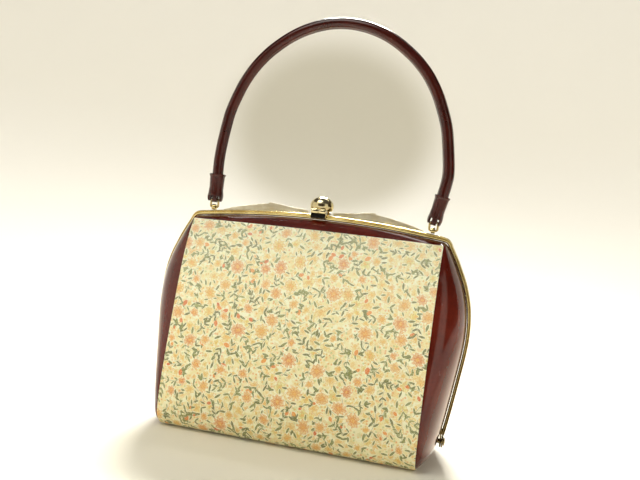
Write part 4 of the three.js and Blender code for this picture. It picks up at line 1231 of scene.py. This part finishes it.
# tabs: a sleeve wrapped round the tube's end, lobes each side of a cleft, and an inner strap round the ring
for hand, sx in (("right", 1), ("left", -1)):
    so = Soup()
    NA = 96
    th = np.linspace(0, 2 * math.pi, NA, endpoint=False)
    zc = LUG_Z + RING_H

    def lean(x, y, z):
        a = math.radians(TAB_LEAN[hand])
        dx, dz = x, z - zc
        return (sx * LUG_X + dx * math.cos(a) + dz * math.sin(a), RING_Y + y, zc - dx * math.sin(a) + dz * math.cos(a))

    def bottom(t):
        lobe = smooth((abs(math.cos(t)) - (0.78 if hand == "left" else 0.68)) / 0.14)
        return 194.3 - 4.6 * float(lobe) + 1.2 * (1 - abs(math.cos(t))) * 0.0

    # outer radius by height: lobes, waist, sleeve, rolled lip
    R_TAB = [[189, 5.7], [191, 6.05], [194, 6.35], [197.5, 6.0], [201, 5.75], [206, 5.85], [209.5, 6.0], [211.2, 6.1], [212.0, 6.5], [212.9, 6.7], [213.6, 6.5]]
    zf = np.concatenate([np.linspace(0, 1, 46)])
    outer_r, inner_r = [], []
    for f in zf:
        ro, ri = [], []
        for t in th:
            z = bottom(t) + (213.6 - bottom(t)) * f
            R = float(lut(R_TAB, z))
            seam = abs((t + math.pi / 2 + math.pi) % (2 * math.pi) - math.pi)      # overlap line at the front
            R += -0.30 * math.exp(-((seam - 0.10) / 0.05) ** 2) * (z > 196) + 0.16 * (seam < 0.9) * (1 - seam / 0.9) * (z > 195)
            R += 0.10 * math.sin(3 * t + z * 0.9) * math.exp(-((z - 199) / 4) ** 2)
            if f < 0.03:
                R -= 0.35
            ry = R * 0.97
            wx_ = 1.10 if hand == "left" else 0.98
            ro.append(lean(R * wx_ * math.cos(t), ry * math.sin(t), z))
            k = max(R - 1.15, 5.3) if z > 198 else R - 1.15
            wi_ = 1.0 if z > 198 else (1.10 if hand == "left" else 1.06)
            ri.append(lean(k * wi_ * math.cos(t), k * 0.97 * math.sin(t) if z <= 198 else k * math.sin(t), z + (0.25 if f < 0.03 else (-0.15 if f > 0.98 else 0.0))))
        outer_r.append(ro)
        inner_r.append(ri)
    so.loft(outer_r + inner_r[::-1], closed=True)
    # stitches along the overlap
    for k in range(6):
        z0 = 198.2 + k * 2.3
        rings = []
        for j, f in enumerate(np.linspace(0, 1, 7)):
            z = z0 + 1.5 * f
            R = float(lut(R_TAB, z)) + 0.10 + 0.16 * math.sin(math.pi * f)
            t = -math.pi / 2 + 0.30
            cx, cy = R * math.cos(t), R * 0.97 * math.sin(t)
            rr = 0.22 * (0.35 + 0.65 * math.sin(math.pi * min(max(f, 0.08), 0.92)))
            rings.append([lean(cx + rr * math.cos(b), cy + rr * math.sin(b) * 0.8, z) for b in np.linspace(0, 2 * math.pi, 8, endpoint=False)])
        so.loft(rings)
    # strap round the ring's top bar
    path = [(2.15, 199.5), (2.15, 196.5), (2.15, 193.5)]
    path += [(2.15 * math.cos(a), zc + 2.15 * math.sin(a)) for a in np.linspace(0, -math.pi, 17)]
    path += [(-2.15, 193.5), (-2.15, 196.5), (-2.15, 199.5)]
    path = np.array(path)
    tn = np.gradient(path, axis=0)
    tn /= np.linalg.norm(tn, axis=1)[:, None]
    rings = []
    for i, (y, z) in enumerate(path):
        n_y, n_z = tn[i, 1], -tn[i, 0]
        q = [(2.1, -0.45), (2.1, 0.45), (1.9, 0.68), (-1.9, 0.68), (-2.1, 0.45), (-2.1, -0.45), (-1.9, -0.68), (1.9, -0.68)]
        rings.append([lean(a, y + n_y * b, z + n_z * b) for a, b in q])
    so.loft(rings)
    ob = so.mesh("leather_tab_" + hand, 50)
    dress(ob, M_PATENT2)
    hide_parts("tab_" + hand)
    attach(ob, "handle")

# carried-over pieces
for node, mat, slot in (("base_board", M_BOARD, "stiff_board"), ("front_board", M_BOARD, "stiff_board"), ("rear_board", M_BOARD, "stiff_board"),
                        ("handle_core", M_CORD, "filler_cord")):
    ob = NODES[node]
    if ob.material_slots:
        for sl in ob.material_slots:
            sl.link = "OBJECT"
            sl.material = mat
    else:
        ob.data.materials.append(mat)

# ------------------------------------------------------------------ stage
so_prof = [(r0, -0.4) for r0 in (5, 120, 250, 320, 360, 400, 440, 480, 520, 600, 750, 950, 1200)]
so_prof += [(1200 + 500 * math.sin(a), -0.4 + 500 * (1 - math.cos(a))) for a in np.linspace(0.1, math.pi / 2, 14)]
so_prof += [(1700, z) for z in (700, 1000, 1300)]
ang = np.linspace(0, 2 * math.pi, 128, endpoint=False)
V = [(0, 0, -0.4)] + [(r0 * math.cos(a), r0 * math.sin(a), z) for r0, z in so_prof for a in ang]
F = [(0, 1 + c, 1 + (c + 1) % 128) for c in range(128)]
for k in range(len(so_prof) - 1):
    for c in range(128):
        e = (c + 1) % 128
        F.append((1 + k * 128 + c, 1 + (k + 1) * 128 + c, 1 + (k + 1) * 128 + e, 1 + k * 128 + e))
px = np.array([(335 - 320) / 740, (240 - 132) / 740])
ray = d + r2 * px[0] + u2 * px[1]
qa, qb, qc = ray[0] ** 2 + ray[1] ** 2, 2 * (C[0] * ray[0] + C[1] * ray[1]), C[0] ** 2 + C[1] ** 2 - 1690.0 ** 2
hit = (C + ray * (-qb + math.sqrt(qb * qb - 4 * qa * qc)) / (2 * qa)) * 0.001
WALL_X, WALL_Z = -float(hit[0]), float(hit[2])
floor = make("studio_floor", V, F, 60, closed=False)
m = Mat("studio_paper")
o = m.obj()
x, y, z = m.xyz(o)
rr = m.math("SQRT", m.math("ADD", m.math("MULTIPLY", x, x), m.math("MULTIPLY", y, y)))
fac = m.range(rr, 0.34, 0.52, 0, 1)
paper = m.mix(fac, lin(253, 249, 234), lin(228, 225, 217))
# painted shadow: a soft darker patch on the backdrop behind the handle
wx = m.math("DIVIDE", m.math("ADD", x, WALL_X), 0.30)
wz = m.math("DIVIDE", m.math("SUBTRACT", z, WALL_Z), 0.27)
wr = m.math("SQRT", m.math("ADD", m.math("MULTIPLY", wx, wx), m.math("MULTIPLY", wz, wz)))
wall_shadow_mask = m.math("MULTIPLY", m.range(wr, 1.25, 0.75, 0, 0.8), m.range(y, 0.9, 1.2, 0, 1))
paper = m.mix(wall_shadow_mask, paper, lin(182, 177, 160))
m.set(Base_Color=paper, Roughness=m.math("ADD", 0.75, m.math("MULTIPLY", m.noise(o, 20, 3), 0.1)))
floor.data.materials.append(m.m)


def area(name, loc, target, size, power, color=(1, 0.982, 0.925), spread=180):
    L = bpy.data.lights.new(name, "AREA")
    L.shape = "RECTANGLE"
    L.size, L.size_y = size
    L.energy = power
    L.color = color
    L.spread = math.radians(spread)
    ob = bpy.data.objects.new(name, L)
    bpy.context.scene.collection.objects.link(ob)
    z = np.array(loc, float) - np.array(target, float)
    z /= np.linalg.norm(z)
    x = np.cross([0, 0, 1], z)
    x /= np.linalg.norm(x)
    y = np.cross(z, x)
    ob.matrix_world = Matrix([[x[i], y[i], z[i], loc[i]] for i in range(3)] + [[0, 0, 0, 1]])
    ob.visible_camera = False
    return ob


area("key", (-0.55, -0.95, 1.75), (0, 0, 0.12), (1.1, 1.1), 12)
area("front", (-0.35, -1.75, 0.62), (0, 0, 0.14), (1.4, 0.6), 9.6, (1, 0.99, 0.90)).visible_glossy = False
area("back", (-0.30, 1.42, 1.70), (0, 0, 0.1), (0.8, 0.4), 34, (1, 0.99, 0.95), 110)
area("backdrop", (0.0, 0.70, 1.80), (0, 1.7, 0.55), (1.8, 0.4), 7.4, (1, 0.99, 0.96))


def flag(name, pts_):
    """A dark card that only shapes the reflections, as round glossy goods in a studio."""
    ob = make(name, pts_, [(0, 1, 2, 3)], 60, closed=False)
    mm = Mat(name + "_cloth")
    o_ = mm.obj()
    mm.set(Base_Color=mm.mix(mm.noise(o_, 3, 2), lin(40, 34, 28), lin(66, 56, 44)), Roughness=mm.math("ADD", 0.9, mm.math("MULTIPLY", mm.noise(o_, 9, 2), 0.05)))
    ob.data.materials.append(mm.m)
    ob.visible_camera = ob.visible_shadow = ob.visible_diffuse = ob.visible_transmission = False
    return ob


flag("flag_right", [(1450, -1250, 150), (1450, 420, 150), (1450, 420, 1500), (1450, -1250, 1500)])
flag("flag_front", [(-1000, -1480, 120), (1400, -1480, 120), (1400, -1480, 1100), (-1000, -1480, 1100)])
for nm, x0, x1 in (("card_right", 126, 1250), ("card_left", -1250, -240)):
    ob = flag(nm, [(x0, -900, 2), (x1, -900, 2), (x1, 900, 2), (x0, 900, 2)])
    mm = Mat(nm + "_paper")
    mm.set(Base_Color=mm.mix(mm.noise(mm.obj(), 3, 2), lin(204, 192, 174), lin(216, 204, 188)), Roughness=mm.math("ADD", 0.9, mm.math("MULTIPLY", mm.noise(mm.obj(), 9, 2), 0.05)))
    ob.data.materials[0] = mm.m
world = bpy.data.worlds.new("studio")
bpy.context.scene.world = world
world.use_nodes = True
bg = world.node_tree.nodes["Background"]
bg.inputs[0].default_value = (1.0, 0.985, 0.95, 1)
bg.inputs[1].default_value = 0.10
bpy.context.scene.view_settings.view_transform = "Standard"
bpy.context.scene.view_settings.look = "None"
bpy.context.scene.view_settings.exposure = 0.0
